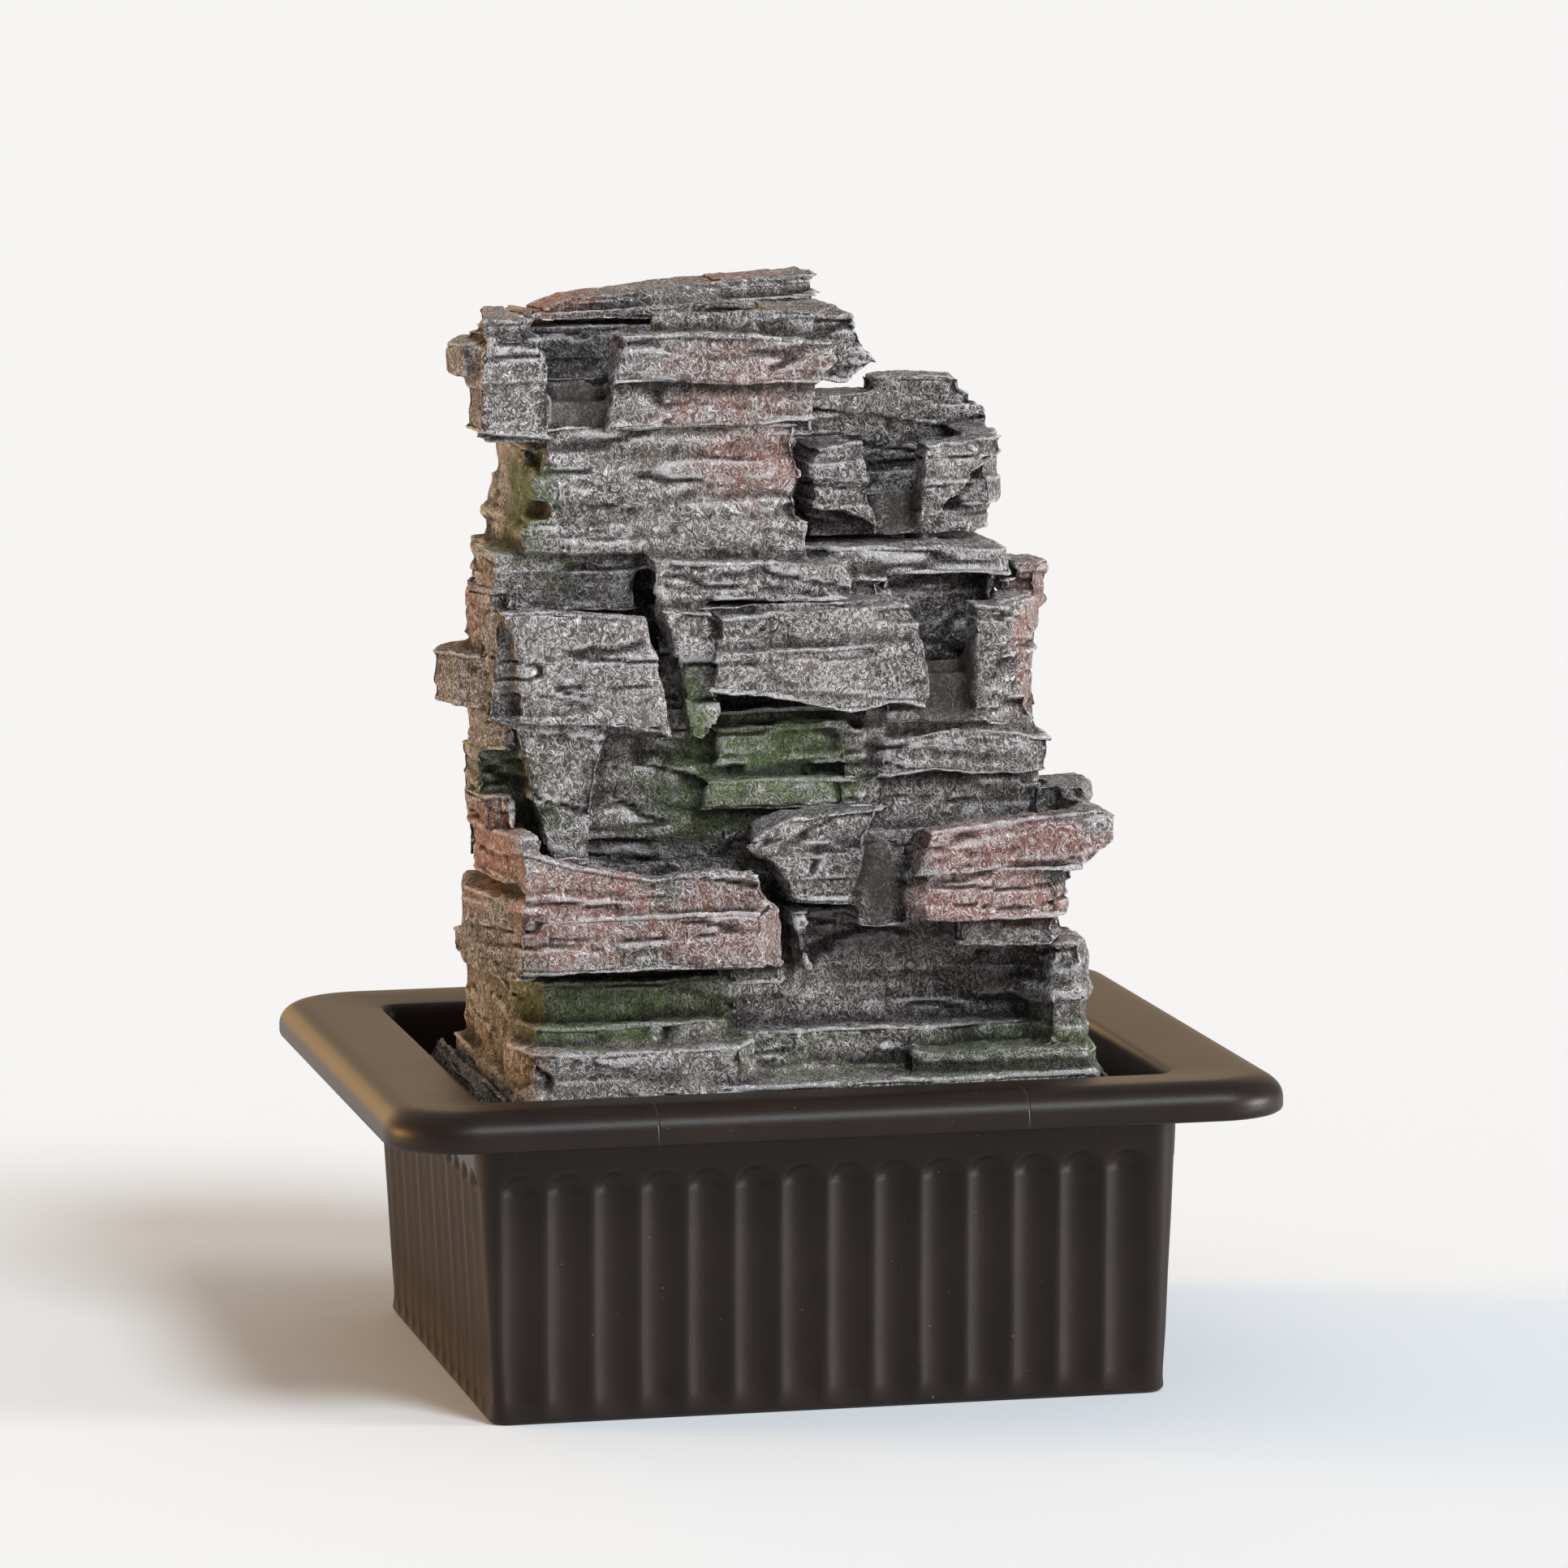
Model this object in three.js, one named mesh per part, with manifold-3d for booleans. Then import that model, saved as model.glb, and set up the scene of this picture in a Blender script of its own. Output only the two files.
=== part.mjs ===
// Tabletop water fountain: a fluted plastic tub, a cast rock tower with six catch bowls that lifts
// out of it, and the submersible pump and the hoses that the tower hides.
// Millimetres, +Z up, front towards -Y, origin at the centre of the tub's underside.
import * as THREE from 'three';
import * as BufferGeometryUtils from 'three/addons/utils/BufferGeometryUtils.js';
import Module from 'manifold-3d';

const wasm = await Module();
wasm.setup();

// ---------------------------------------------------------------- driving dimensions
const RIM_WIDTH = 220;
const RIM_DEPTH = 203.4;
const RIM_TOP = 80.2;
const TOWER_TOP = 270;

// Tub
const RIM_HEIGHT = 9.3;
const RIM_CORNER = 19;
const RIM_ROLL = 4.4;
const OVERHANG = 23.3;
const TAPER = 3.1;
const TUB_WALL = 2.6;
const TUB_FLOOR = 2.8;
const TUB_CORNER = 7;
const FLUTE_PITCH = 11.46;
const FLUTE_CHORD = 9.6;
const FLUTE_DEPTH = 1.3;
const PLAIN_BAND = 9.5;

// Clearances
const SEAT_GAP = 0.3;
const SKIRT_GAP = 1.8;

// Rock tower
const ROCK_WALL = 8;
const CHIP = 1.1;
const ROOM_TOP = 92;
const FOOT_TOP = 75;
const WAIST_TOP = 150;
const CHAMBER_TOP = 199;

// Pump and hoses
const CUP_HEIGHT = 3.6;
const CUP_RADIUS = 5;
const PUMP_WIDTH = 36;
const PUMP_HEIGHT = 38;
const MOTOR_LENGTH = 30;
const VOLUTE_LENGTH = 14;
const STRAINER_LENGTH = 15;
const STRAINER_WALL = 1.6;
const STRAINER_LAP = 1.6;
const PUMP_WALL = 2;
const ROTOR_RISE = 22;
const WELL_BORE = 8.2;
const WELL_WALL = 1.4;
const WELL_DEPTH = 24;
const CHAMBER_RADIUS = 10.5;
const SHAFT_RADIUS = 1.2;
const RUNNING_GAP = 0.3;
const SLIDER_TRAVEL = 7;
const HOSE_BORE = 3.5;
const HOSE_WALL = 1.5;
const BARB_BORE = 2.2;
const BARB_LENGTH = 7;
const NOZZLE_LENGTH = 12;
const PASSAGE = 0.8;

// ---------------------------------------------------------------- places worked out from the sizes
const RIM_UNDER = RIM_TOP - RIM_HEIGHT;
const INNER_WIDTH = RIM_WIDTH - 2 * (OVERHANG + TUB_WALL);
const INNER_DEPTH = RIM_DEPTH - 2 * (OVERHANG + TUB_WALL);

// The tower is drawn on a grid of its own, which these three maps stretch to the tub and the height.
const DRAWN_WIDTH = 164.6;
const DRAWN_DEPTH = 151.6;
const DRAWN_RIM = 80.2;
const DRAWN_TOP = 270;
const across = (x) => x * (INNER_WIDTH - 2 * SKIRT_GAP) / DRAWN_WIDTH;
const deep = (y) => y * INNER_DEPTH / DRAWN_DEPTH;
const rise = (z) => (z <= DRAWN_RIM
  ? z * RIM_TOP / DRAWN_RIM
  : RIM_TOP + (z - DRAWN_RIM) * (TOWER_TOP - RIM_TOP) / (DRAWN_TOP - DRAWN_RIM));

const RISER = [across(-12), deep(-6)];
const BRANCH = [across(38), deep(-6)];
const HOSE_RADIUS = HOSE_BORE + HOSE_WALL;
const BARB_RADIUS = HOSE_BORE - SEAT_GAP;
const PUMP_BASE = TUB_FLOOR + CUP_HEIGHT;
const PUMP_TOP = PUMP_BASE + PUMP_HEIGHT;
const PUMP_FACE = RISER[1] + VOLUTE_LENGTH / 2;
const MOTOR_BACK = PUMP_FACE + MOTOR_LENGTH;
const VOLUTE_FRONT = PUMP_FACE - VOLUTE_LENGTH;
const STRAINER_FRONT = VOLUTE_FRONT + STRAINER_LAP - STRAINER_LENGTH;
const ROTOR_AXIS = [RISER[0], PUMP_BASE + ROTOR_RISE];
const NOZZLE_TOP = PUMP_TOP + NOZZLE_LENGTH;
const TEE_HEIGHT = rise(178);

// ---------------------------------------------------------------- solids and meshes
function solid(geometry) {
  geometry.deleteAttribute('normal');
  geometry.deleteAttribute('uv');
  const merged = BufferGeometryUtils.mergeVertices(geometry, 1e-4);
  return new wasm.Manifold(new wasm.Mesh({
    numProp: 3,
    vertProperties: new Float32Array(merged.attributes.position.array),
    triVerts: new Uint32Array(merged.index.array),
  }));
}

const join = (solids) => solids.reduce((whole, next) => whole.add(next));
const cut = (whole, tools) => tools.reduce((left, tool) => left.subtract(tool), whole);

const fountain = new THREE.Group();

function addPart(name, body, material) {
  const data = body.getMesh();
  const geometry = new THREE.BufferGeometry();
  geometry.setAttribute('position', new THREE.BufferAttribute(data.vertProperties, 3));
  geometry.setIndex(new THREE.BufferAttribute(data.triVerts, 1));
  geometry.computeVertexNormals();
  const mesh = new THREE.Mesh(geometry, material);
  mesh.name = name;
  fountain.add(mesh);
}

// Frames that turn a drawn outline (u, v) and its extrusion w into x, y and z.
const PLAN = new THREE.Matrix4();
const FRONT = new THREE.Matrix4().makeRotationX(Math.PI / 2);
const SIDE = new THREE.Matrix4().makeBasis(
  new THREE.Vector3(0, 1, 0), new THREE.Vector3(0, 0, 1), new THREE.Vector3(1, 0, 0));

function prism(shape, start, end, frame, curveSegments = 8) {
  const geometry = new THREE.ExtrudeGeometry(shape, { depth: end - start, bevelEnabled: false, curveSegments });
  geometry.translate(0, 0, start);
  geometry.applyMatrix4(frame);
  return solid(geometry);
}

function outlineShape(points) {
  return new THREE.Shape(points.map(([u, v]) => new THREE.Vector2(u, v)));
}

function roundedRectangle(width, height, radius, u = 0, v = 0) {
  const shape = new THREE.Shape();
  const right = u + width / 2 - radius;
  const top = v + height / 2 - radius;
  const left = u - width / 2 + radius;
  const bottom = v - height / 2 + radius;
  shape.absarc(right, top, radius, 0, Math.PI / 2);
  shape.absarc(left, top, radius, Math.PI / 2, Math.PI);
  shape.absarc(left, bottom, radius, Math.PI, 1.5 * Math.PI);
  shape.absarc(right, bottom, radius, 1.5 * Math.PI, 2 * Math.PI);
  return shape;
}

function box(low, high) {
  const geometry = new THREE.BoxGeometry(high[0] - low[0], high[1] - low[1], high[2] - low[2]);
  geometry.translate((low[0] + high[0]) / 2, (low[1] + high[1]) / 2, (low[2] + high[2]) / 2);
  return solid(geometry);
}

// A round bar between two points that differ along one axis only.
function bar(radius, from, to, segments = 28) {
  const start = new THREE.Vector3(...from);
  const end = new THREE.Vector3(...to);
  const geometry = new THREE.CylinderGeometry(radius, radius, start.distanceTo(end), segments);
  const direction = end.clone().sub(start).normalize();
  geometry.applyQuaternion(new THREE.Quaternion().setFromUnitVectors(new THREE.Vector3(0, 1, 0), direction));
  geometry.translate(...start.add(end).multiplyScalar(0.5).toArray());
  return solid(geometry);
}

// ---------------------------------------------------------------- tub
const tubPlastic = new THREE.MeshStandardMaterial({ color: 0x37302d, roughness: 0.5, metalness: 0 });

// A tapered block with the tub's plan: its walls stand further in towards the floor.
function taperedBlock(inset, corner, low, high) {
  const width = RIM_WIDTH - 2 * (OVERHANG + inset);
  const depth = RIM_DEPTH - 2 * (OVERHANG + inset);
  const geometry = new THREE.ExtrudeGeometry(
    roundedRectangle(width, depth, corner),
    { depth: high - low, bevelEnabled: false, curveSegments: 5 });
  geometry.translate(0, 0, low);
  const position = geometry.attributes.position;
  for (let i = 0; i < position.count; i += 1) {
    const drop = TAPER * (1 - position.getZ(i) / RIM_UNDER);
    position.setX(i, position.getX(i) * (1 - 2 * drop / width));
    position.setY(i, position.getY(i) * (1 - 2 * drop / depth));
  }
  return solid(geometry);
}

function rimRing() {
  const shape = roundedRectangle(RIM_WIDTH, RIM_DEPTH, RIM_CORNER);
  shape.holes.push(roundedRectangle(INNER_WIDTH, INNER_DEPTH, TUB_CORNER));
  const geometry = new THREE.ExtrudeGeometry(shape, {
    depth: RIM_HEIGHT - RIM_ROLL,
    bevelThickness: RIM_ROLL,
    bevelSize: RIM_ROLL,
    bevelOffset: -RIM_ROLL,
    bevelSegments: 4,
    curveSegments: 6,
  });
  geometry.translate(0, 0, RIM_UNDER);
  const belowRim = box([-RIM_WIDTH, -RIM_DEPTH, RIM_UNDER - RIM_HEIGHT], [RIM_WIDTH, RIM_DEPTH, RIM_UNDER]);
  return solid(geometry).subtract(belowRim);
}

// The rim is a turned-over lip, so it is hollow from below between its outer edge and the wall.
function rimHollow() {
  const margin = 2 * TUB_WALL;
  const shape = roundedRectangle(RIM_WIDTH - margin, RIM_DEPTH - margin, RIM_CORNER - TUB_WALL);
  shape.holes.push(roundedRectangle(INNER_WIDTH + margin, INNER_DEPTH + margin, TUB_CORNER));
  return prism(shape, RIM_UNDER - 1, RIM_TOP - TUB_WALL - RIM_ROLL, PLAN, 5);
}

// Round-topped scallops cut upright into one wall, which faces -Y before it is turned.
function fluteCutters(wallLength, wallOut, turn) {
  const radius = (FLUTE_CHORD ** 2 / 4 + FLUTE_DEPTH ** 2) / (2 * FLUTE_DEPTH);
  const count = Math.floor((wallLength - 2 * TUB_CORNER) / FLUTE_PITCH) + 1;
  const archTop = RIM_UNDER - PLAIN_BAND - FLUTE_CHORD / 2;
  const lean = Math.atan(TAPER / RIM_UNDER);
  const cutters = [];
  for (let i = 0; i < count; i += 1) {
    const geometry = new THREE.CapsuleGeometry(radius, 2 * archTop, 4, 22);
    geometry.rotateX(Math.PI / 2);
    geometry.rotateX(lean);
    const offset = (i - (count - 1) / 2) * FLUTE_PITCH;
    geometry.translate(offset, -(wallOut - TAPER + radius - FLUTE_DEPTH), 0);
    geometry.rotateZ(turn);
    cutters.push(solid(geometry));
  }
  return cutters;
}

function tub() {
  const halfWidth = RIM_WIDTH / 2 - OVERHANG;
  const halfDepth = RIM_DEPTH / 2 - OVERHANG;
  const outside = taperedBlock(0, TUB_CORNER, 0, RIM_UNDER + RIM_ROLL);
  const inside = taperedBlock(TUB_WALL, TUB_CORNER - TUB_WALL, TUB_FLOOR, RIM_TOP + 1);
  return cut(outside.add(rimRing()), [
    inside,
    rimHollow(),
    ...fluteCutters(2 * halfWidth, halfDepth, 0),
    ...fluteCutters(2 * halfWidth, halfDepth, Math.PI),
    ...fluteCutters(2 * halfDepth, halfWidth, Math.PI / 2),
    ...fluteCutters(2 * halfDepth, halfWidth, -Math.PI / 2),
  ]);
}

// ---------------------------------------------------------------- stones
// Every stone is an extruded outline with chipped edges. grow swells it on all sides, so that a
// piece cut by a grown neighbour keeps a seam to it.
function stone(points, start, end, frame, grow, chip) {
  const geometry = new THREE.ExtrudeGeometry(outlineShape(points), {
    depth: end - start - 2 * chip + 2 * grow,
    bevelThickness: chip,
    bevelSize: chip,
    bevelOffset: grow - chip,
    bevelSegments: 1,
  });
  geometry.translate(0, 0, start + chip - grow);
  geometry.applyMatrix4(frame);
  return solid(geometry);
}

// Lying: outline in plan, between two heights.
function lying(grow, outline, low, high, chip = CHIP) {
  const points = outline.map(([x, y]) => [across(x), deep(y)]);
  return stone(points, rise(low), rise(high), PLAN, grow, chip);
}

// Standing: outline in front view, between a front and a back.
function standing(grow, outline, front, back, chip = CHIP) {
  const points = outline.map(([x, z]) => [across(x), rise(z)]);
  return stone(points, -deep(back), -deep(front), FRONT, grow, chip);
}

// A spillway: a block with a smooth sloping face, which stands back between two cheeks.
function spillway(grow, left, right, low, high, topFront, bottomFront, back) {
  const points = [[bottomFront, low], [topFront, high], [back, high], [back, low]]
    .map(([y, z]) => [deep(y), rise(z)]);
  return stone(points, across(left), across(right), SIDE, grow, CHIP / 2);
}

// Pools: the pocket of each catch bowl, cut from above through whatever rock stands there.
const pool = (outline, floor, top) => prism(
  outlineShape(outline.map(([x, y]) => [across(x), deep(y)])), rise(floor), rise(top), PLAN);
const POOLS = [
  pool([[-57, -18], [-43, -18], [-39, -22], [-3, -22], [-3, 4], [-57, 4]], 241, 264),
  pool([[21, -11], [48, -11], [48, 8], [21, 8]], 213, 241),
  pool([[29, -31], [45, -31], [52, -28], [52, -19], [29, -19]], 174, 196),
  pool([[-70, -38], [-36, -38], [-33, -32], [-33, -21], [-70, -21]], 180, 200),
  pool([[13, -44], [26, -44], [29, -52], [64, -52], [68, -46], [66, -32], [13, -32]], 130, 148),
  pool([[-66, -54], [-20, -55], [-14, -50], [-12, -34], [-66, -34]], 121, 141),
];

const stoneGrey = new THREE.MeshStandardMaterial({ color: 0x8a837b, roughness: 0.9, metalness: 0 });
const stonePink = new THREE.MeshStandardMaterial({ color: 0x9c817b, roughness: 0.9, metalness: 0 });
const stoneGreen = new THREE.MeshStandardMaterial({ color: 0x7c8676, roughness: 0.9, metalness: 0 });

// Repeatable raggedness between -0.5 and 0.5.
function ragged(seed) {
  const wild = Math.sin(seed * 12.9898) * 43758.5453;
  return wild - Math.floor(wild) - 0.5;
}

// The four sides of the tower's main casting, each as height and distance from the middle.
const LEFT_SIDE = [[0, -73], [80, -73], [108, -72], [128, -66], [150, -67], [172, -71], [200, -70],
  [215, -64], [232, -65]];
const RIGHT_SIDE = [[0, 71], [80, 72], [108, 70], [128, 66], [150, 64], [172, 61], [205, 57]];
const FRONT_SIDE = [[0, -57], [72, -58], [82, -48], [92, -40], [122, -34], [146, -31], [165, -24],
  [232, -23]];
const BACK_SIDE = [[0, 46], [80, 45], [150, 41], [232, 36]];
const SHOULDER = 205;
const COLUMN_TOP = 231;
const COLUMN_RIGHT = 6;

function sideAt(side, height) {
  const upper = side.findIndex(([level]) => level >= height);
  if (upper <= 0) return side[upper < 0 ? side.length - 1 : 0][1];
  const [lowLevel, lowValue] = side[upper - 1];
  const [highLevel, highValue] = side[upper];
  return lowValue + (highValue - lowValue) * (height - lowLevel) / (highLevel - lowLevel);
}

// One split layer of slate right across the tower, its corners knocked off at random.
function layer(grow, index, low, high) {
  const middle = (low + high) / 2;
  const left = sideAt(LEFT_SIDE, middle);
  const right = low >= SHOULDER ? COLUMN_RIGHT : sideAt(RIGHT_SIDE, middle);
  const front = sideAt(FRONT_SIDE, middle);
  const back = sideAt(BACK_SIDE, middle);
  const corner = 8;
  const centre = (left + right) / 2;
  const outline = [
    [left, front + corner], [left + corner, front], [centre, front], [right - corner, front],
    [right, front + corner], [right, back - corner], [right - corner, back], [centre, back],
    [left + corner, back], [left, back - corner],
  ];
  const raggedness = 4.4;
  const knocked = outline.map(([x, y], i) => [
    x + raggedness * ragged(index * 31 + i),
    y + raggedness * ragged(index * 17 + i + 7),
  ]);
  return lying(grow, knocked, low, high, 0.9);
}

function layers(grow) {
  const stack = [];
  const bite = 1;
  let low = TUB_FLOOR + SEAT_GAP;
  let index = 1;
  while (low < COLUMN_TOP - 1) {
    const thickness = 8.5 + 5 * ragged(index);
    const stop = low < SHOULDER ? SHOULDER : COLUMN_TOP;
    const high = stop - low - thickness < 4 ? stop : low + thickness;
    stack.push(layer(grow, index, low, high === stop ? high : high + bite));
    low = high;
    index += 1;
  }
  return stack;
}

// Ledges that stand out of the main casting between the bowls.
const ledges = (grow) => [
  standing(grow, [[-63, 217], [3, 217], [5, 222], [3, 228], [-60, 229], [-65, 223]], -32, 0),
  standing(grow, [[-40, 227], [3, 226], [4, 232], [-40, 231]], -28, 0),
  standing(grow, [[-66, 205], [5, 203], [6, 212], [-30, 213], [-64, 214], [-68, 210]], -33, 0),
  standing(grow, [[-74, 197], [-38, 197], [-30, 205], [-74, 206]], -30, 0),
  standing(grow, [[-35, 188], [-20, 186], [-19, 194], [-35, 194]], -38, -10),
  standing(grow, [[-36, 193], [15, 191], [16, 198], [13, 202], [-36, 204]], -40, 0),
  standing(grow, [[34, 196], [59, 195], [57, 204], [10, 205], [8, 197]], -27, 0),
  standing(grow, [[12, 191], [24, 190], [27, 197], [10, 198]], -30, 0),
  standing(grow, [[-69, 160], [-46, 160], [-48, 148], [-50, 137], [-61, 137], [-65, 150]], -40, -10),
  standing(grow, [[-20, 152], [16, 151], [18, 158], [15, 163], [-20, 162]], -34, -10),
  standing(grow, [[-24, 141], [14, 140], [17, 149], [-22, 150]], -38, -10),
  standing(grow, [[20, 146], [64, 148], [66, 158], [40, 160], [22, 157]], -37, -10),
  standing(grow, [[-5, 119], [1, 119], [2, 103], [-2, 103]], -52, -30, 0.6),
  lying(grow, [[-74, -40], [-71, -59], [-64, -62], [-18, -61], [-12, -52], [-12, -30], [-74, -30]], 70, 88),
  lying(grow, [[-71, -36], [-68, -51], [-19, -51], [-14, -30], [-71, -30]], 86, 93),
  lying(grow, [[-69, -34], [-65, -46], [-15, -46], [-12, -30], [-69, -30]], 92, 103),
  lying(grow, [[54, -40], [59, -56], [69, -55], [73, -46], [73, -26], [54, -26]], 84, 98),
  lying(grow, [[57, -38], [60, -52], [68, -53], [73, -44], [73, -26], [57, -26]], 97, 109),
  lying(grow, [[-16, -52], [10, -50], [46, -52], [56, -40], [56, -30], [-16, -30]], 74, 80),
  lying(grow, [[-16, -44], [10, -44], [50, -43], [56, -30], [-16, -30]], 79, 88),
  lying(grow, [[-74, -50], [-70, -63], [-10, -64], [30, -63], [71, -62], [74, -52], [73, -24], [-74, -24]],
    62, 78.5),
  lying(grow, [[24, -54], [50, -59], [69, -59], [73, -52], [73, -24], [30, -24]], 76, 84),
];

const mainCasting = (grow) => [...layers(grow), ...ledges(grow)];

// The casting is a shell: a wide pump room open at the floor, and a chamber above it for the hoses.
function hollow(low, high, topCheck) {
  const left = Math.max(sideAt(LEFT_SIDE, low), sideAt(LEFT_SIDE, topCheck)) + ROCK_WALL;
  const right = Math.min(sideAt(RIGHT_SIDE, low), sideAt(RIGHT_SIDE, topCheck)) - ROCK_WALL;
  const front = Math.max(sideAt(FRONT_SIDE, low), sideAt(FRONT_SIDE, topCheck)) + ROCK_WALL;
  const back = Math.min(sideAt(BACK_SIDE, low), sideAt(BACK_SIDE, topCheck)) - ROCK_WALL;
  return box([across(left), deep(front), rise(low)], [across(right), deep(back), rise(high)]);
}

// Where the pump's lead and the water pass under the back and the sides of the casting.
function waterArch() {
  const width = 30;
  const height = 26;
  const shape = new THREE.Shape();
  shape.moveTo(-width / 2, 0);
  shape.lineTo(width / 2, 0);
  shape.lineTo(width / 2, height - width / 2);
  shape.absarc(0, height - width / 2, width / 2, 0, Math.PI);
  return prism(shape, -deep(60), 0, FRONT, 6);
}

function rockCore() {
  const passages = [
    bar(HOSE_RADIUS + PASSAGE, [...RISER, rise(ROOM_TOP)], [...RISER, rise(COLUMN_TOP + 5)]),
    bar(HOSE_RADIUS + PASSAGE, [...BRANCH, rise(150)], [...BRANCH, rise(SHOULDER + 5)]),
  ];
  return cut(join(mainCasting(0)), [
    hollow(0, FOOT_TOP, 68),
    hollow(FOOT_TOP - 1, WAIST_TOP, 149),
    hollow(WAIST_TOP - 1, CHAMBER_TOP, CHAMBER_TOP - 1),
    waterArch(),
    ...passages,
    ...POOLS,
  ]);
}

// The casting is made in four sections, stacked and glued where its hollow steps in.
function addCore() {
  const core = rockCore();
  const sections = [
    ['rock_core_foot', 0, rise(FOOT_TOP)],
    ['rock_core_waist', rise(FOOT_TOP) + SEAT_GAP, rise(WAIST_TOP)],
    ['rock_core_shoulder', rise(WAIST_TOP) + SEAT_GAP, rise(CHAMBER_TOP)],
    ['rock_core_crown', rise(CHAMBER_TOP) + SEAT_GAP, TOWER_TOP],
  ];
  for (const [name, low, high] of sections) {
    const slice = box([-RIM_WIDTH / 2, -RIM_DEPTH / 2, low], [RIM_WIDTH / 2, RIM_DEPTH / 2, high]);
    addPart(name, core.intersect(slice), stoneGrey);
  }
}

// ---------------------------------------------------------------- bowls and loose stones
// A sloping skirt hides the gap between the casting and the tub.
const skirt = (grow) => [
  lying(grow, [[-82, -40], [-77, -62], [-60, -67], [-20, -66], [20, -67], [66, -67], [80, -60],
    [82, -34], [81, 10], [82, 40], [74, 48], [-72, 49], [-82, 44]], 56, 73, 4),
  lying(grow, [[-80, -30], [-76, -52], [-66, -56], [-60, -40], [-60, 40], [-79, 40]], 66, 77, 3),
  lying(grow, [[66, -54], [76, -55], [80, -34], [79, 38], [66, 40]], 66, 76, 3),
];

const topBowl = (grow) => [
  lying(grow, [[-75, -24], [-70, -30], [-46, -29], [8, -31], [9, 30], [-6, 34], [-62, 34], [-69, 22]],
    231.3, 241.5),
  lying(grow, [[-77, -28], [-58, -28], [-58, 24], [-67, 28], [-72, 0]], 232.5, 258),
  standing(grow, [[-77, 234], [-57, 232], [-58, 250], [-60, 258], [-75, 259], [-77, 246]], -33, -10),
  lying(grow, [[-76, -31], [-64, -32], [-60, -26], [-62, -14], [-60, 18], [-67, 20]], 257, 262.5),
  lying(grow, [[-83, -18], [-80, -27], [-73, -28], [-68, 8], [-76, 4]], 247, 257),
  standing(grow, [[-46, 234], [8, 235], [9, 246], [-44, 247]], -33, -20),
  standing(grow, [[-45, 245], [9, 244], [14, 250], [12, 256], [-20, 259], [-42, 258]], -35, -20),
  lying(grow, [[-33, -27], [8, -31], [16, -22], [17, 8], [-33, -16]], 255, 263.5),
  standing(grow, [[3, 246], [16, 243], [24, 249], [21, 256], [18, 262], [3, 262]], -29, 8),
  lying(grow, [[-3, -20], [9, -22], [9, 30], [-3, 30]], 240, 250),
  lying(grow, [[-70, 4], [16, 4], [16, 32], [-10, 35], [-60, 34], [-68, 26]], 240, 258),
  spillway(grow, -58, -44, 232, 247.5, -22, -28.5, 0),
];

const capStone = (grow) => [
  standing(grow, [[-57, 258.3], [16, 258.3], [17, 265], [-18, 263], [-58, 261]], 5, 36),
  standing(grow, [[-56, 259], [17, 261], [17, 269.5], [-16, 267.5], [-46, 265], [-53, 262]], 7, 35, 1.6),
  standing(grow, [[-10, 262], [16, 263], [16, 270], [-8, 268.5]], 9, 33),
];

const upperRightBowl = (grow) => [
  lying(grow, [[8, -14], [28, -15], [50, -13], [58, -4], [58, 26], [50, 34], [8, 34]], 205.3, 215),
  standing(grow, [[7, 213], [16, 212], [25, 208], [22, 230], [9, 229], [6, 225]], -24, 6),
  standing(grow, [[34, 208], [39, 208], [50, 221], [57, 226], [56, 231], [36, 229]], -24, -6),
  lying(grow, [[46, -16], [54, -18], [60, -8], [60, 14], [48, 14]], 212, 231),
  lying(grow, [[8, 8], [60, 8], [60, 26], [52, 33], [8, 33]], 212, 236),
  lying(grow, [[8, 7], [56, 8], [57, 28], [8, 30]], 234, 239.5),
  lying(grow, [[30, 9], [53, 9], [54, 27], [31, 28]], 238, 243.5),
  spillway(grow, 23.5, 36, 206, 217, -15, -19, 0),
];

const middleRightBowl = (grow) => [
  standing(grow, [[-24, 171], [-8, 169], [12, 165], [24, 167], [32, 166], [33, 170], [31, 183], [-22, 182]],
    -47, -22),
  standing(grow, [[-21, 181], [30, 181], [31, 187], [28, 192], [-20, 190]], -44, -22),
  standing(grow, [[43, 165], [50, 165], [54, 184], [54, 191], [43, 192]], -44, -30),
  lying(grow, [[50, -43], [63, -28], [67, -18], [67, 0], [56, 2], [50, -26]], 176, 192),
  lying(grow, [[48, -38], [60, -30], [65, -18], [65, 2], [48, 4]], 158.5, 178),
  lying(grow, [[55, -20], [66, -22], [71, -12], [70, 4], [57, 6]], 187, 199),
  lying(grow, [[22, -38], [48, -38], [48, -20], [22, -20]], 161, 174),
  spillway(grow, 31, 43.5, 162, 177, -34, -38.5, -22),
];

const middleLeftBowl = (grow) => [
  standing(grow, [[-72, 186], [-70, 165], [-44, 163], [-31, 160], [-33, 174], [-37, 191], [-62, 193], [-75, 193]],
    -47, -38),
  lying(grow, [[-70, -44], [-40, -44], [-34, -38], [-34, -20], [-74, -20]], 164, 182),
  lying(grow, [[-79, -22], [-76, -40], [-69, -42], [-67, 0], [-74, 2]], 180, 198),
  lying(grow, [[-87, -18], [-84, -28], [-74, -42], [-66, -30], [-66, 2], [-82, -2]], 168, 182),
  lying(grow, [[-78, -16], [-76, -30], [-70, -40], [-64, -30], [-64, 4], [-74, 2]], 157, 170),
  spillway(grow, -36, -25, 159, 184, -29, -38, -20),
];

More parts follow.
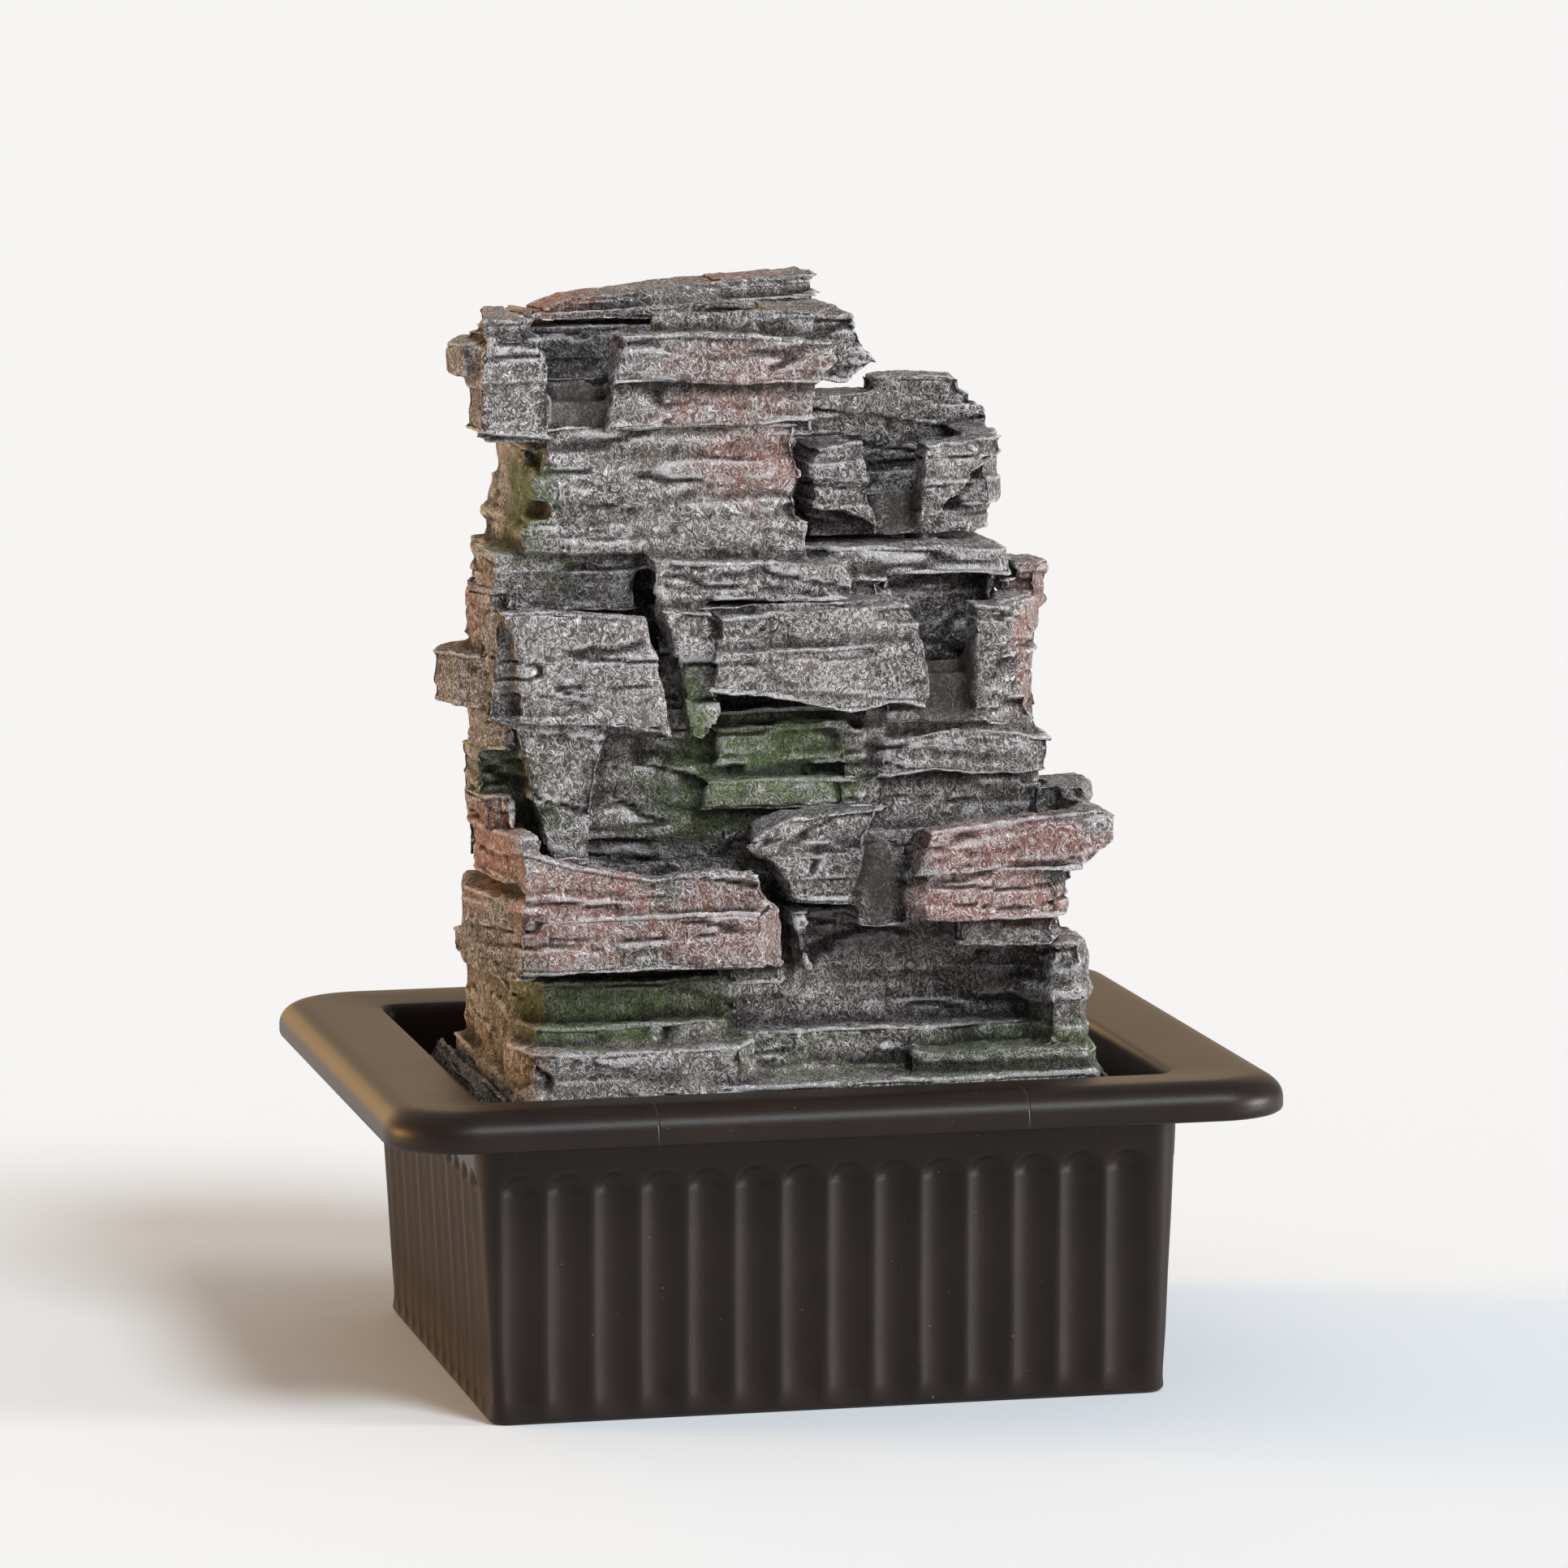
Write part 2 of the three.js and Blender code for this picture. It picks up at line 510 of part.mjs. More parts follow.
const lowerRightBowl = (grow) => [
  standing(grow, [[23, 127], [67, 126], [75, 134], [75, 141], [70, 143], [50, 141], [28, 138.5]], -62, -28),
  lying(grow, [[22, -58], [27, -62], [61, -60], [66, -52], [66, -28], [22, -28]], 115, 128),
  lying(grow, [[36, -54], [60, -57], [65, -48], [66, -28], [34, -28]], 108, 117),
  lying(grow, [[60, -34], [74, -36], [80, -20], [78, -4], [60, -4]], 138, 145),
  standing(grow, [[-18, 135], [-12, 131], [10, 131], [14, 133], [21, 144], [-4, 142]], -52, -28),
  standing(grow, [[-11, 133], [-4, 120], [10, 119], [15, 134]], -55, -28),
  lying(grow, [[8, -50], [26, -50], [68, -50], [66, -28], [8, -28]], 122, 131),
  spillway(grow, 11, 24, 114, 136, -49, -55, -30),
];

const lowerLeftBowl = (grow) => [
  standing(grow, [[-73, 119], [-9, 119], [-13, 130], [-24, 131.5], [-40, 129.5], [-58, 133], [-73, 138]], -62, -32),
  lying(grow, [[-73, -60], [-66, -64], [-14, -65], [-7, -58], [-9, -32], [-73, -32]], 106, 121),
  lying(grow, [[-22, -60], [-8, -62], [-5, -54], [-10, -40], [-22, -40]], 101.5, 108),
  lying(grow, [[-79, -26], [-76, -46], [-73, -58], [-66, -58], [-64, 0], [-75, 0]], 127, 140),
  lying(grow, [[-80, -22], [-78, -36], [-70, -42], [-66, -20], [-64, 4], [-75, 2]], 138, 148),
  lying(grow, [[-82, -26], [-78, -46], [-72, -59], [-66, -54], [-64, 4], [-76, 4]], 104, 125),
];

const bowlsAndStones = [
  ['base_skirt', skirt, stoneGreen],
  ['lower_left_bowl', lowerLeftBowl, stonePink],
  ['lower_right_bowl', lowerRightBowl, stonePink],
  ['middle_left_bowl', middleLeftBowl, stoneGrey],
  ['middle_right_bowl', middleRightBowl, stoneGrey],
  ['upper_right_bowl', upperRightBowl, stoneGrey],
  ['top_bowl', topBowl, stonePink],
  ['cap_stone', capStone, stonePink],
];

// The outlet of each hose stands up through a bowl's floor.
const outletHoles = [
  bar(BARB_RADIUS + SEAT_GAP, [...RISER, rise(COLUMN_TOP - 5)], [...RISER, rise(250)]),
  bar(BARB_RADIUS + SEAT_GAP, [...BRANCH, rise(SHOULDER - 5)], [...BRANCH, rise(225)]),
];

// Each stone is cut to fit the ones set before it.
function setStones() {
  addCore();
  const earlier = [...mainCasting(SEAT_GAP)];
  for (const [name, build, material] of bowlsAndStones) {
    addPart(name, cut(join(build(0)), [...earlier, ...POOLS, ...outletHoles]), material);
    earlier.push(...build(SEAT_GAP));
  }
}

// ---------------------------------------------------------------- pump
const pumpPlastic = new THREE.MeshStandardMaterial({ color: 0x1c1d1f, roughness: 0.45, metalness: 0 });
const rubber = new THREE.MeshStandardMaterial({ color: 0x2a2a2a, roughness: 0.8, metalness: 0 });
const steel = new THREE.MeshStandardMaterial({ color: 0x8d9094, roughness: 0.4, metalness: 0.9 });
const copper = new THREE.MeshStandardMaterial({ color: 0xa8623a, roughness: 0.35, metalness: 0.9 });
const ceramic = new THREE.MeshStandardMaterial({ color: 0xe9e6df, roughness: 0.3, metalness: 0 });
const resin = new THREE.MeshStandardMaterial({ color: 0x101214, roughness: 0.25, metalness: 0 });
const clearHose = new THREE.MeshStandardMaterial({ color: 0xcfd4d2, roughness: 0.25, metalness: 0 });

// A block with the pump's rounded front-view outline, inset on all sides, from a front to a back.
function pumpBlock(inset, front, back, corner = 4) {
  const outline = roundedRectangle(
    PUMP_WIDTH - 2 * inset, PUMP_HEIGHT - 2 * inset, corner, RISER[0], PUMP_BASE + PUMP_HEIGHT / 2);
  return prism(outline, -back, -front, FRONT, 4);
}

// A box placed from the rotor axis (x), the pump's face (y) and the pump's base (z).
const pumpBox = (low, high) => box(
  [RISER[0] + low[0], PUMP_FACE + low[1], PUMP_BASE + low[2]],
  [RISER[0] + high[0], PUMP_FACE + high[1], PUMP_BASE + high[2]]);

// A round bar on the rotor axis, from one distance behind the pump's face to another.
const axial = (radius, from, to, segments = 28) => bar(
  radius,
  [ROTOR_AXIS[0], PUMP_FACE + from, ROTOR_AXIS[1]],
  [ROTOR_AXIS[0], PUMP_FACE + to, ROTOR_AXIS[1]],
  segments);

const GASKET_WIDTH = 1.5;
const GASKET_THICKNESS = 1.2;
const GASKET_INSET = 2;
const FRONT_WALL = 3;
const GLAND_RADIUS = 2.4;
const GLAND_PLACE = [PUMP_FACE + 25, PUMP_BASE + 29];
const CUP_STEM = 1.2;
const CUP_PLACES = [[-12, 5], [12, 5], [-12, 25], [12, 25]];

function gasketRing(slack, front, back) {
  const ring = pumpBlock(GASKET_INSET - slack, front, back, 3 + slack);
  const middle = pumpBlock(GASKET_INSET + GASKET_WIDTH + slack, front - 1, back + 1, 2 - slack);
  return ring.subtract(middle);
}

function pumpHousing() {
  const front = PUMP_FACE;
  const shell = pumpBlock(0, front, MOTOR_BACK).subtract(
    pumpBlock(PUMP_WALL, front + FRONT_WALL, MOTOR_BACK + 1, 3));
  const well = axial(WELL_BORE + WELL_WALL, FRONT_WALL - 1, WELL_DEPTH);
  const sockets = CUP_PLACES.map(([x, y]) => bar(
    CUP_STEM + SEAT_GAP,
    [RISER[0] + x, PUMP_FACE + y, PUMP_BASE - 1],
    [RISER[0] + x, PUMP_FACE + y, PUMP_BASE + PUMP_WALL / 2 + SEAT_GAP],
    12));
  return cut(shell.add(well), [
    axial(WELL_BORE, -1, WELL_DEPTH - WELL_WALL),
    gasketRing(SEAT_GAP / 2, front - 1, front + GASKET_THICKNESS),
    bar(
      GLAND_RADIUS + SEAT_GAP,
      [RISER[0], ...GLAND_PLACE],
      [RISER[0] + PUMP_WIDTH, ...GLAND_PLACE],
      16),
    ...sockets,
  ]);
}

// Laminated core: it hugs the rotor's well and runs through the coil below it.
const CORE_FRONT = 5.5;
const CORE_BACK = 16.5;
const YOKE_LOW = 5;
const YOKE_HIGH = 8.8;
const COIL_HALF = 10.6;

function statorCore() {
  const half = PUMP_WIDTH / 2 - PUMP_WALL - SEAT_GAP;
  const poleTop = ROTOR_RISE + 8;
  const slot = 3;
  return cut(pumpBox([-half, CORE_FRONT, YOKE_LOW], [half, CORE_BACK, poleTop]), [
    axial(WELL_BORE + WELL_WALL + SEAT_GAP, CORE_FRONT - 1, CORE_BACK + 1),
    pumpBox([-COIL_HALF - SEAT_GAP, CORE_FRONT - 1, YOKE_HIGH],
      [COIL_HALF + SEAT_GAP, CORE_BACK + 1, ROTOR_RISE - WELL_BORE]),
    pumpBox([-slot, CORE_FRONT - 1, ROTOR_RISE], [slot, CORE_BACK + 1, poleTop + 1]),
  ]);
}

const BOBBIN_WALL = 0.8;
const BOBBIN_FLANGE = 1;
const FLANGE_REACH = 1.5;

function bobbinTube(grow) {
  const out = SEAT_GAP + grow;
  return pumpBox([-COIL_HALF, CORE_FRONT - out, YOKE_LOW - out], [COIL_HALF, CORE_BACK + out, YOKE_HIGH + out]);
}

function coilBobbin() {
  const reach = BOBBIN_WALL + FLANGE_REACH;
  const flanges = [-COIL_HALF, COIL_HALF - BOBBIN_FLANGE].map((left) => pumpBox(
    [left, CORE_FRONT - reach, YOKE_LOW - reach],
    [left + BOBBIN_FLANGE, CORE_BACK + reach, YOKE_HIGH + reach]));
  const bore = pumpBox(
    [-PUMP_WIDTH, CORE_FRONT - SEAT_GAP, YOKE_LOW - SEAT_GAP],
    [PUMP_WIDTH, CORE_BACK + SEAT_GAP, YOKE_HIGH + SEAT_GAP]);
  return join([bobbinTube(BOBBIN_WALL), ...flanges]).subtract(bore);
}

function coilWinding() {
  const half = COIL_HALF - BOBBIN_FLANGE - SEAT_GAP;
  const reach = BOBBIN_WALL + FLANGE_REACH - SEAT_GAP;
  return pumpBox([-half, CORE_FRONT - reach, YOKE_LOW - reach], [half, CORE_BACK + reach, YOKE_HIGH + reach])
    .subtract(bobbinTube(BOBBIN_WALL + SEAT_GAP));
}

// Cast resin closes the back of the motor behind the core.
function pottingPlug() {
  const plug = pumpBlock(PUMP_WALL + SEAT_GAP, PUMP_FACE + CORE_BACK + 3.5, MOTOR_BACK - SEAT_GAP, 2.7);
  return plug.subtract(axial(WELL_BORE + WELL_WALL + SEAT_GAP, 0, WELL_DEPTH + SEAT_GAP));
}

const BUSH_THICKNESS = 1.6;
const MAGNET_FRONT = 2;
const MAGNET_BACK = WELL_DEPTH - WELL_WALL - BUSH_THICKNESS - 3 * RUNNING_GAP;
const SHAFT_FRONT = 2.6 - VOLUTE_LENGTH;
const SHAFT_BACK = WELL_DEPTH - WELL_WALL - RUNNING_GAP;
const ROTOR_BORE = SHAFT_RADIUS + RUNNING_GAP;

const rotorShaft = () => axial(SHAFT_RADIUS, SHAFT_FRONT - 1, SHAFT_BACK, 20);
const rotorMagnet = () => axial(WELL_BORE - 2 * RUNNING_GAP, MAGNET_FRONT, MAGNET_BACK)
  .subtract(axial(ROTOR_BORE, 0, WELL_DEPTH, 20));
const rearBush = () => axial(WELL_BORE - SEAT_GAP, SHAFT_BACK - BUSH_THICKNESS, SHAFT_BACK)
  .subtract(axial(ROTOR_BORE, 0, WELL_DEPTH, 20));
const frontBush = () => axial(2.4, SHAFT_FRONT - 0.6, SHAFT_FRONT + BUSH_THICKNESS, 20)
  .subtract(axial(ROTOR_BORE, -VOLUTE_LENGTH, 0, 20));

function impeller() {
  const bladeCount = 5;
  const bladeFront = SHAFT_FRONT + BUSH_THICKNESS + RUNNING_GAP;
  const bladeThickness = 1.2;
  const plate = axial(CHAMBER_RADIUS - 1, -1.8, -0.7);
  const hub = axial(3.2, bladeFront, MAGNET_FRONT - RUNNING_GAP);
  const blades = [];
  for (let i = 0; i < bladeCount; i += 1) {
    const geometry = new THREE.BoxGeometry(CHAMBER_RADIUS - 3, -1.2 - bladeFront, bladeThickness);
    geometry.translate((CHAMBER_RADIUS + 1) / 2, (bladeFront - 1.2) / 2, 0);
    geometry.rotateY(i * 2 * Math.PI / bladeCount);
    geometry.translate(ROTOR_AXIS[0], PUMP_FACE, ROTOR_AXIS[1]);
    blades.push(solid(geometry));
  }
  return join([plate, hub, ...blades]).subtract(axial(ROTOR_BORE, -VOLUTE_LENGTH, WELL_DEPTH, 20));
}

// The volute cover: the impeller's chamber, its ring of inlets and the nozzle that takes the hose.
function voluteCover() {
  const lap = STRAINER_WALL + SEAT_GAP;
  const inlets = [];
  const inletCount = 6;
  for (let i = 0; i < inletCount; i += 1) {
    const angle = (i + 0.5) * 2 * Math.PI / inletCount;
    const x = ROTOR_AXIS[0] + 6 * Math.cos(angle);
    const z = ROTOR_AXIS[1] + 6 * Math.sin(angle);
    inlets.push(bar(1.9, [x, VOLUTE_FRONT - 1, z], [x, PUMP_FACE - 5, z], 14));
  }
  const body = join([
    pumpBlock(lap, VOLUTE_FRONT, PUMP_FACE - SEAT_GAP, 3),
    pumpBlock(0, VOLUTE_FRONT + STRAINER_LAP + SEAT_GAP, PUMP_FACE - SEAT_GAP),
    bar(BARB_RADIUS, [...RISER, PUMP_TOP - 3], [...RISER, NOZZLE_TOP], 24),
    bar(HOSE_RADIUS, [...RISER, PUMP_TOP - 3], [...RISER, PUMP_TOP + 1.5], 24),
  ]);
  return cut(body, [
    axial(CHAMBER_RADIUS, SHAFT_FRONT + RUNNING_GAP, 1),
    axial(2.4 + SEAT_GAP, SHAFT_FRONT - 1.2, 0, 20),
    bar(BARB_BORE, [...RISER, ROTOR_AXIS[1]], [...RISER, NOZZLE_TOP + 1], 20),
    ...inlets,
  ]);
}

const WINDOW_LEFT = 3;
const WINDOW_WIDTH = 6;
const WINDOW_HEIGHT = 4;
const WINDOW_RISE = 27;
const SLIDER_THICKNESS = 1.6;
const SLIDER_HEIGHT = 6;
const RAIL = 1.4;

// The strainer slips over the front of the volute; slots let water in and keep grit out.
function strainerCover() {
  const shell = pumpBlock(0, STRAINER_FRONT, VOLUTE_FRONT + STRAINER_LAP).subtract(
    pumpBlock(STRAINER_WALL, STRAINER_FRONT + STRAINER_WALL, VOLUTE_FRONT + STRAINER_LAP + 1, 3));
  const faceY = STRAINER_FRONT - PUMP_FACE;
  const slots = [-11, -5.5, 0, 5.5, 11].map((x) => pumpBox(
    [x - 1.1, faceY - 1, 4], [x + 1.1, faceY + STRAINER_WALL + 1, 19]));
  const railHalf = WINDOW_LEFT + WINDOW_WIDTH + 3;
  const rails = [WINDOW_RISE - SLIDER_HEIGHT / 2 - SEAT_GAP - RAIL, WINDOW_RISE + SLIDER_HEIGHT / 2 + SEAT_GAP]
    .map((low) => pumpBox(
      [-railHalf, faceY - SLIDER_THICKNESS - SEAT_GAP, low],
      [railHalf, faceY + STRAINER_WALL / 2, low + RAIL]));
  const window = pumpBox(
    [WINDOW_LEFT, faceY - 1, WINDOW_RISE - WINDOW_HEIGHT / 2],
    [WINDOW_LEFT + WINDOW_WIDTH, faceY + STRAINER_WALL + 1, WINDOW_RISE + WINDOW_HEIGHT / 2]);
  return cut(join([shell, ...rails]), [...slots, window]);
}

// The flow slider: a plate that slides across the window to throttle the pump.
function flowSlider() {
  const faceY = STRAINER_FRONT - PUMP_FACE - SEAT_GAP;
  const left = WINDOW_LEFT + WINDOW_WIDTH + 1 - SLIDER_TRAVEL - 8;
  const plate = pumpBox(
    [left, faceY - SLIDER_THICKNESS, WINDOW_RISE - SLIDER_HEIGHT / 2],
    [left + 8, faceY, WINDOW_RISE + SLIDER_HEIGHT / 2]);
  const nib = pumpBox(
    [left + 3, faceY - SLIDER_THICKNESS - 1.6, WINDOW_RISE - 2],
    [left + 5, faceY - SLIDER_THICKNESS + 0.4, WINDOW_RISE + 2]);
  return plate.add(nib);
}

function suctionCup([x, y]) {
  const top = CUP_HEIGHT - SEAT_GAP;
  const profile = [
    [0, 1.5], [CUP_RADIUS - 0.6, SEAT_GAP], [CUP_RADIUS, SEAT_GAP], [CUP_RADIUS, 0.9], [2.4, 2.2],
    [2.4, top], [CUP_STEM, top], [CUP_STEM, top + PUMP_WALL / 2], [0, top + PUMP_WALL / 2],
  ].map(([radius, height]) => new THREE.Vector2(radius, height));
  const geometry = new THREE.LatheGeometry(profile, 18);
  geometry.rotateX(Math.PI / 2);
  geometry.translate(RISER[0] + x, PUMP_FACE + y, TUB_FLOOR);
  return solid(geometry);
}

function cableGland() {
  const wallFace = RISER[0] + PUMP_WIDTH / 2;
  const at = (x) => [x, ...GLAND_PLACE];
  return join([
    bar(GLAND_RADIUS, at(wallFace - PUMP_WALL), at(wallFace + 1), 16),
    bar(4, at(wallFace + SEAT_GAP), at(wallFace + 3), 16),
    bar(3, at(wallFace + 2), at(wallFace + 8), 16),
  ]).subtract(bar(1.5, at(wallFace + 2), at(wallFace + 9), 12));
}

// ---------------------------------------------------------------- hoses and fittings
// A straight length of hose standing between two heights, or lying between two places across.
function hose(from, to) {
  const extra = (end, other) => end.map((value, i) => value + Math.sign(value - other[i]));
  return bar(HOSE_RADIUS, from, to, 24).subtract(bar(HOSE_BORE, extra(from, to), extra(to, from), 24));
}

const SHOULDER_HALF = HOSE_RADIUS + 0.5;
const OUTLET_FLANGE = 1.7;
const RISER_FLOOR = rise(241);
const BRANCH_FLOOR = rise(213);
const UPPER_HOSE_TOP = rise(COLUMN_TOP - 1);
const BRANCH_HOSE_TOP = rise(SHOULDER - 1);

function hoseTee() {
  const at = (x, z) => [RISER[0] + x, RISER[1], TEE_HEIGHT + z];
  const reach = SHOULDER_HALF + BARB_LENGTH;
  return cut(join([
    bar(HOSE_RADIUS, at(0, -SHOULDER_HALF), at(0, SHOULDER_HALF), 24),
    bar(HOSE_RADIUS - 0.2, at(0, 0), at(SHOULDER_HALF, 0), 24),
    bar(BARB_RADIUS, at(0, -reach), at(0, reach), 24),
    bar(BARB_RADIUS, at(0, 0), at(reach, 0), 24),
  ]), [
    bar(BARB_BORE, at(0, -reach - 1), at(0, reach + 1), 20),
    bar(BARB_BORE, at(0, 0), at(reach + 1, 0), 20),
  ]);
}

function branchElbow() {
  const at = (x, z) => [BRANCH[0] + x, BRANCH[1], TEE_HEIGHT + z];
  const reach = SHOULDER_HALF + BARB_LENGTH;
  return cut(join([
    bar(HOSE_RADIUS, at(0, -SHOULDER_HALF), at(0, SHOULDER_HALF), 24),
    bar(HOSE_RADIUS - 0.2, at(-SHOULDER_HALF, 0), at(0, 0), 24),
    bar(BARB_RADIUS, at(0, 0), at(0, reach), 24),
    bar(BARB_RADIUS, at(-reach, 0), at(0, 0), 24),
  ]), [
    bar(BARB_BORE, at(0, -BARB_BORE), at(0, reach + 1), 20),
    bar(BARB_BORE, at(-reach - 1, 0), at(0, 0), 20),
  ]);
}

// A flanged outlet: it stands on a pool's floor and its stem holds the hose below.
function outlet(place, floor, hoseTop) {
  const at = (z) => [...place, z];
  return join([
    bar(BARB_RADIUS, at(hoseTop - BARB_LENGTH), at(floor + SEAT_GAP + OUTLET_FLANGE), 24),
    bar(HOSE_RADIUS, at(floor + SEAT_GAP), at(floor + SEAT_GAP + OUTLET_FLANGE), 24),
  ]).subtract(bar(BARB_BORE, at(hoseTop - BARB_LENGTH - 1), at(floor + 5), 20));
}

function addPump() {
  addPart('pump_housing', pumpHousing(), pumpPlastic);
  addPart('stator_core', statorCore(), steel);
  addPart('coil_bobbin', coilBobbin(), ceramic);
  addPart('coil_winding', coilWinding(), copper);
  addPart('potting_plug', pottingPlug(), resin);
  addPart('rotor_shaft', rotorShaft(), ceramic);
  addPart('rotor_magnet', rotorMagnet(), resin);
  addPart('impeller', impeller(), pumpPlastic);
  addPart('front_bush', frontBush(), rubber);
  addPart('rear_bush', rearBush(), rubber);
  addPart('cover_gasket', gasketRing(0, PUMP_FACE, PUMP_FACE + GASKET_THICKNESS - SEAT_GAP), rubber);
  addPart('volute_cover', voluteCover(), pumpPlastic);
  addPart('strainer_cover', strainerCover(), pumpPlastic);
  addPart('flow_slider', flowSlider(), pumpPlastic);
  addPart('cable_gland', cableGland(), rubber);
  CUP_PLACES.forEach((place, i) => addPart(`suction_cup_${i + 1}`, suctionCup(place), rubber));
}

function addHoses() {
  const riserTo = (height) => [...RISER, height];
  const branchTo = (x) => [x, RISER[1], TEE_HEIGHT];
  const start = SHOULDER_HALF + SEAT_GAP;
  addPart('lower_riser_hose', hose(riserTo(PUMP_TOP + 1.5 + SEAT_GAP), riserTo(TEE_HEIGHT - start)), clearHose);
  addPart('upper_riser_hose', hose(riserTo(TEE_HEIGHT + start), riserTo(UPPER_HOSE_TOP)), clearHose);
  addPart('branch_hose', hose(branchTo(RISER[0] + start), branchTo(BRANCH[0] - start)), clearHose);
  addPart('branch_riser_hose', hose([...BRANCH, TEE_HEIGHT + start], [...BRANCH, BRANCH_HOSE_TOP]), clearHose);
  addPart('hose_tee', hoseTee(), pumpPlastic);
  addPart('branch_elbow', branchElbow(), pumpPlastic);
  addPart('top_outlet', outlet(RISER, RISER_FLOOR, UPPER_HOSE_TOP), pumpPlastic);
  addPart('branch_outlet', outlet(BRANCH, BRANCH_FLOOR, BRANCH_HOSE_TOP), pumpPlastic);
}

addPart('tub_shell', tub(), tubPlastic);
setStones();
addPump();
addHoses();

export default fountain;
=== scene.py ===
import math

import bmesh
import bpy
import numpy as np
from mathutils import Matrix, Vector


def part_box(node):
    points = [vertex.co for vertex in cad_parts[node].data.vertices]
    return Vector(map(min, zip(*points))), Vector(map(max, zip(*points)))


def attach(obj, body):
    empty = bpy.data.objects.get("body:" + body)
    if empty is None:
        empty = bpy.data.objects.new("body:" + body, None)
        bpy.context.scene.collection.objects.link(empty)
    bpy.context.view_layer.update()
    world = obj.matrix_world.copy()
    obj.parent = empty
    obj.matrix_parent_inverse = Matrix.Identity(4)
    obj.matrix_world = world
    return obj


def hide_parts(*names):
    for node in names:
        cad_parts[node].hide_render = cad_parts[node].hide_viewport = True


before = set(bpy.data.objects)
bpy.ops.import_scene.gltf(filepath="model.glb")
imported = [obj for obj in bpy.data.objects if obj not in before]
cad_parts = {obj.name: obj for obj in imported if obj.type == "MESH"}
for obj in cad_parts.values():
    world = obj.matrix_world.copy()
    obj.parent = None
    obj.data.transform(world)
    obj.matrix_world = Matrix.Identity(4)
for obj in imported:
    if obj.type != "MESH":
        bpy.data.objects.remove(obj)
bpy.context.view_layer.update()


# ---------------------------------------------------------------- camera
# A long lens, two metres in front of the fountain, a little to its left and above its middle.
# It is tipped down and turned right, towards the tower.
CAMERA_PLACE = Vector((-0.4032, -1.9304, 0.3979))
CAMERA_TURN = math.radians(-11.945)
CAMERA_TIP = math.radians(-7.366)
CAMERA_ROLL = math.radians(-0.448)
FILM_WIDTH = 36
FOCAL_LENGTH = 183.86
FARTHEST_VIEW = 20

camera_data = bpy.data.cameras.new("camera")
camera_data.sensor_width = FILM_WIDTH
camera_data.lens = FOCAL_LENGTH
camera_data.clip_end = FARTHEST_VIEW
camera = bpy.data.objects.new("camera", camera_data)
camera.matrix_world = (
    Matrix.Translation(CAMERA_PLACE)
    @ Matrix.Rotation(CAMERA_TURN, 4, "Z")
    @ Matrix.Rotation(math.pi / 2 + CAMERA_TIP, 4, "X")
    @ Matrix.Rotation(CAMERA_ROLL, 4, "Z")
)
bpy.context.scene.collection.objects.link(camera)
bpy.context.scene.camera = camera


# ---------------------------------------------------------------- tub
# One blow-moulded tub of dark brown plastic: a fluted wall that tapers down to a flat foot, and a
# wide rolled rim, which is hollow from below. It stands on its own underside.
MM = 0.001
tub_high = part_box("tub_shell")[1]
RIM_HALF = (tub_high.x / MM, tub_high.y / MM)
RIM_TOP = tub_high.z / MM
RIM_HEIGHT = 9.3
RIM_CORNER = 19
OVERHANG = 23.3
WALL = 2.6
WALL_CORNER = 7
TAPER = 3.1
FOOT_ROUND = 1.6
FLOOR = 2.8
CROWN_INSET = 7.5
PLAIN_BAND = 9.5
FLUTE_PITCH = 11.46
FLUTE_HALF = 5.3
FLUTE_DEPTH = 1.8
FLUTES_WIDE = 14
FLUTES_DEEP = 13
FLUTE_SHIFT = -1.6
FLUTE_STEPS = 12
CORNER_STEPS = 10
MOULD_SEAMS = (-0.047, 0.043)


class Socket:
    """A value in a material. Sums on it add Math nodes."""

    def __init__(self, finish, link):
        self.finish = finish
        self.link = link

    def math(self, operation, *values):
        return self.finish.node("ShaderNodeMath", {"operation": operation}, values)

    def __add__(self, other):
        return self.math("ADD", self, other)

    def __radd__(self, other):
        return self.math("ADD", other, self)

    def __sub__(self, other):
        return self.math("SUBTRACT", self, other)

    def __rsub__(self, other):
        return self.math("SUBTRACT", other, self)

    def __mul__(self, other):
        return self.math("MULTIPLY", self, other)

    def __rmul__(self, other):
        return self.math("MULTIPLY", other, self)

    def __abs__(self):
        return self.math("ABSOLUTE", self)

    def clipped(self):
        return self.finish.node("ShaderNodeClamp", {}, [self, 0.0, 1.0])

    def between(self, low, high):
        """0 below low, 1 above high and a smooth step between them."""
        settings = {"interpolation_type": "SMOOTHSTEP"}
        return self.finish.node("ShaderNodeMapRange", settings, [self, low, high, 0.0, 1.0])


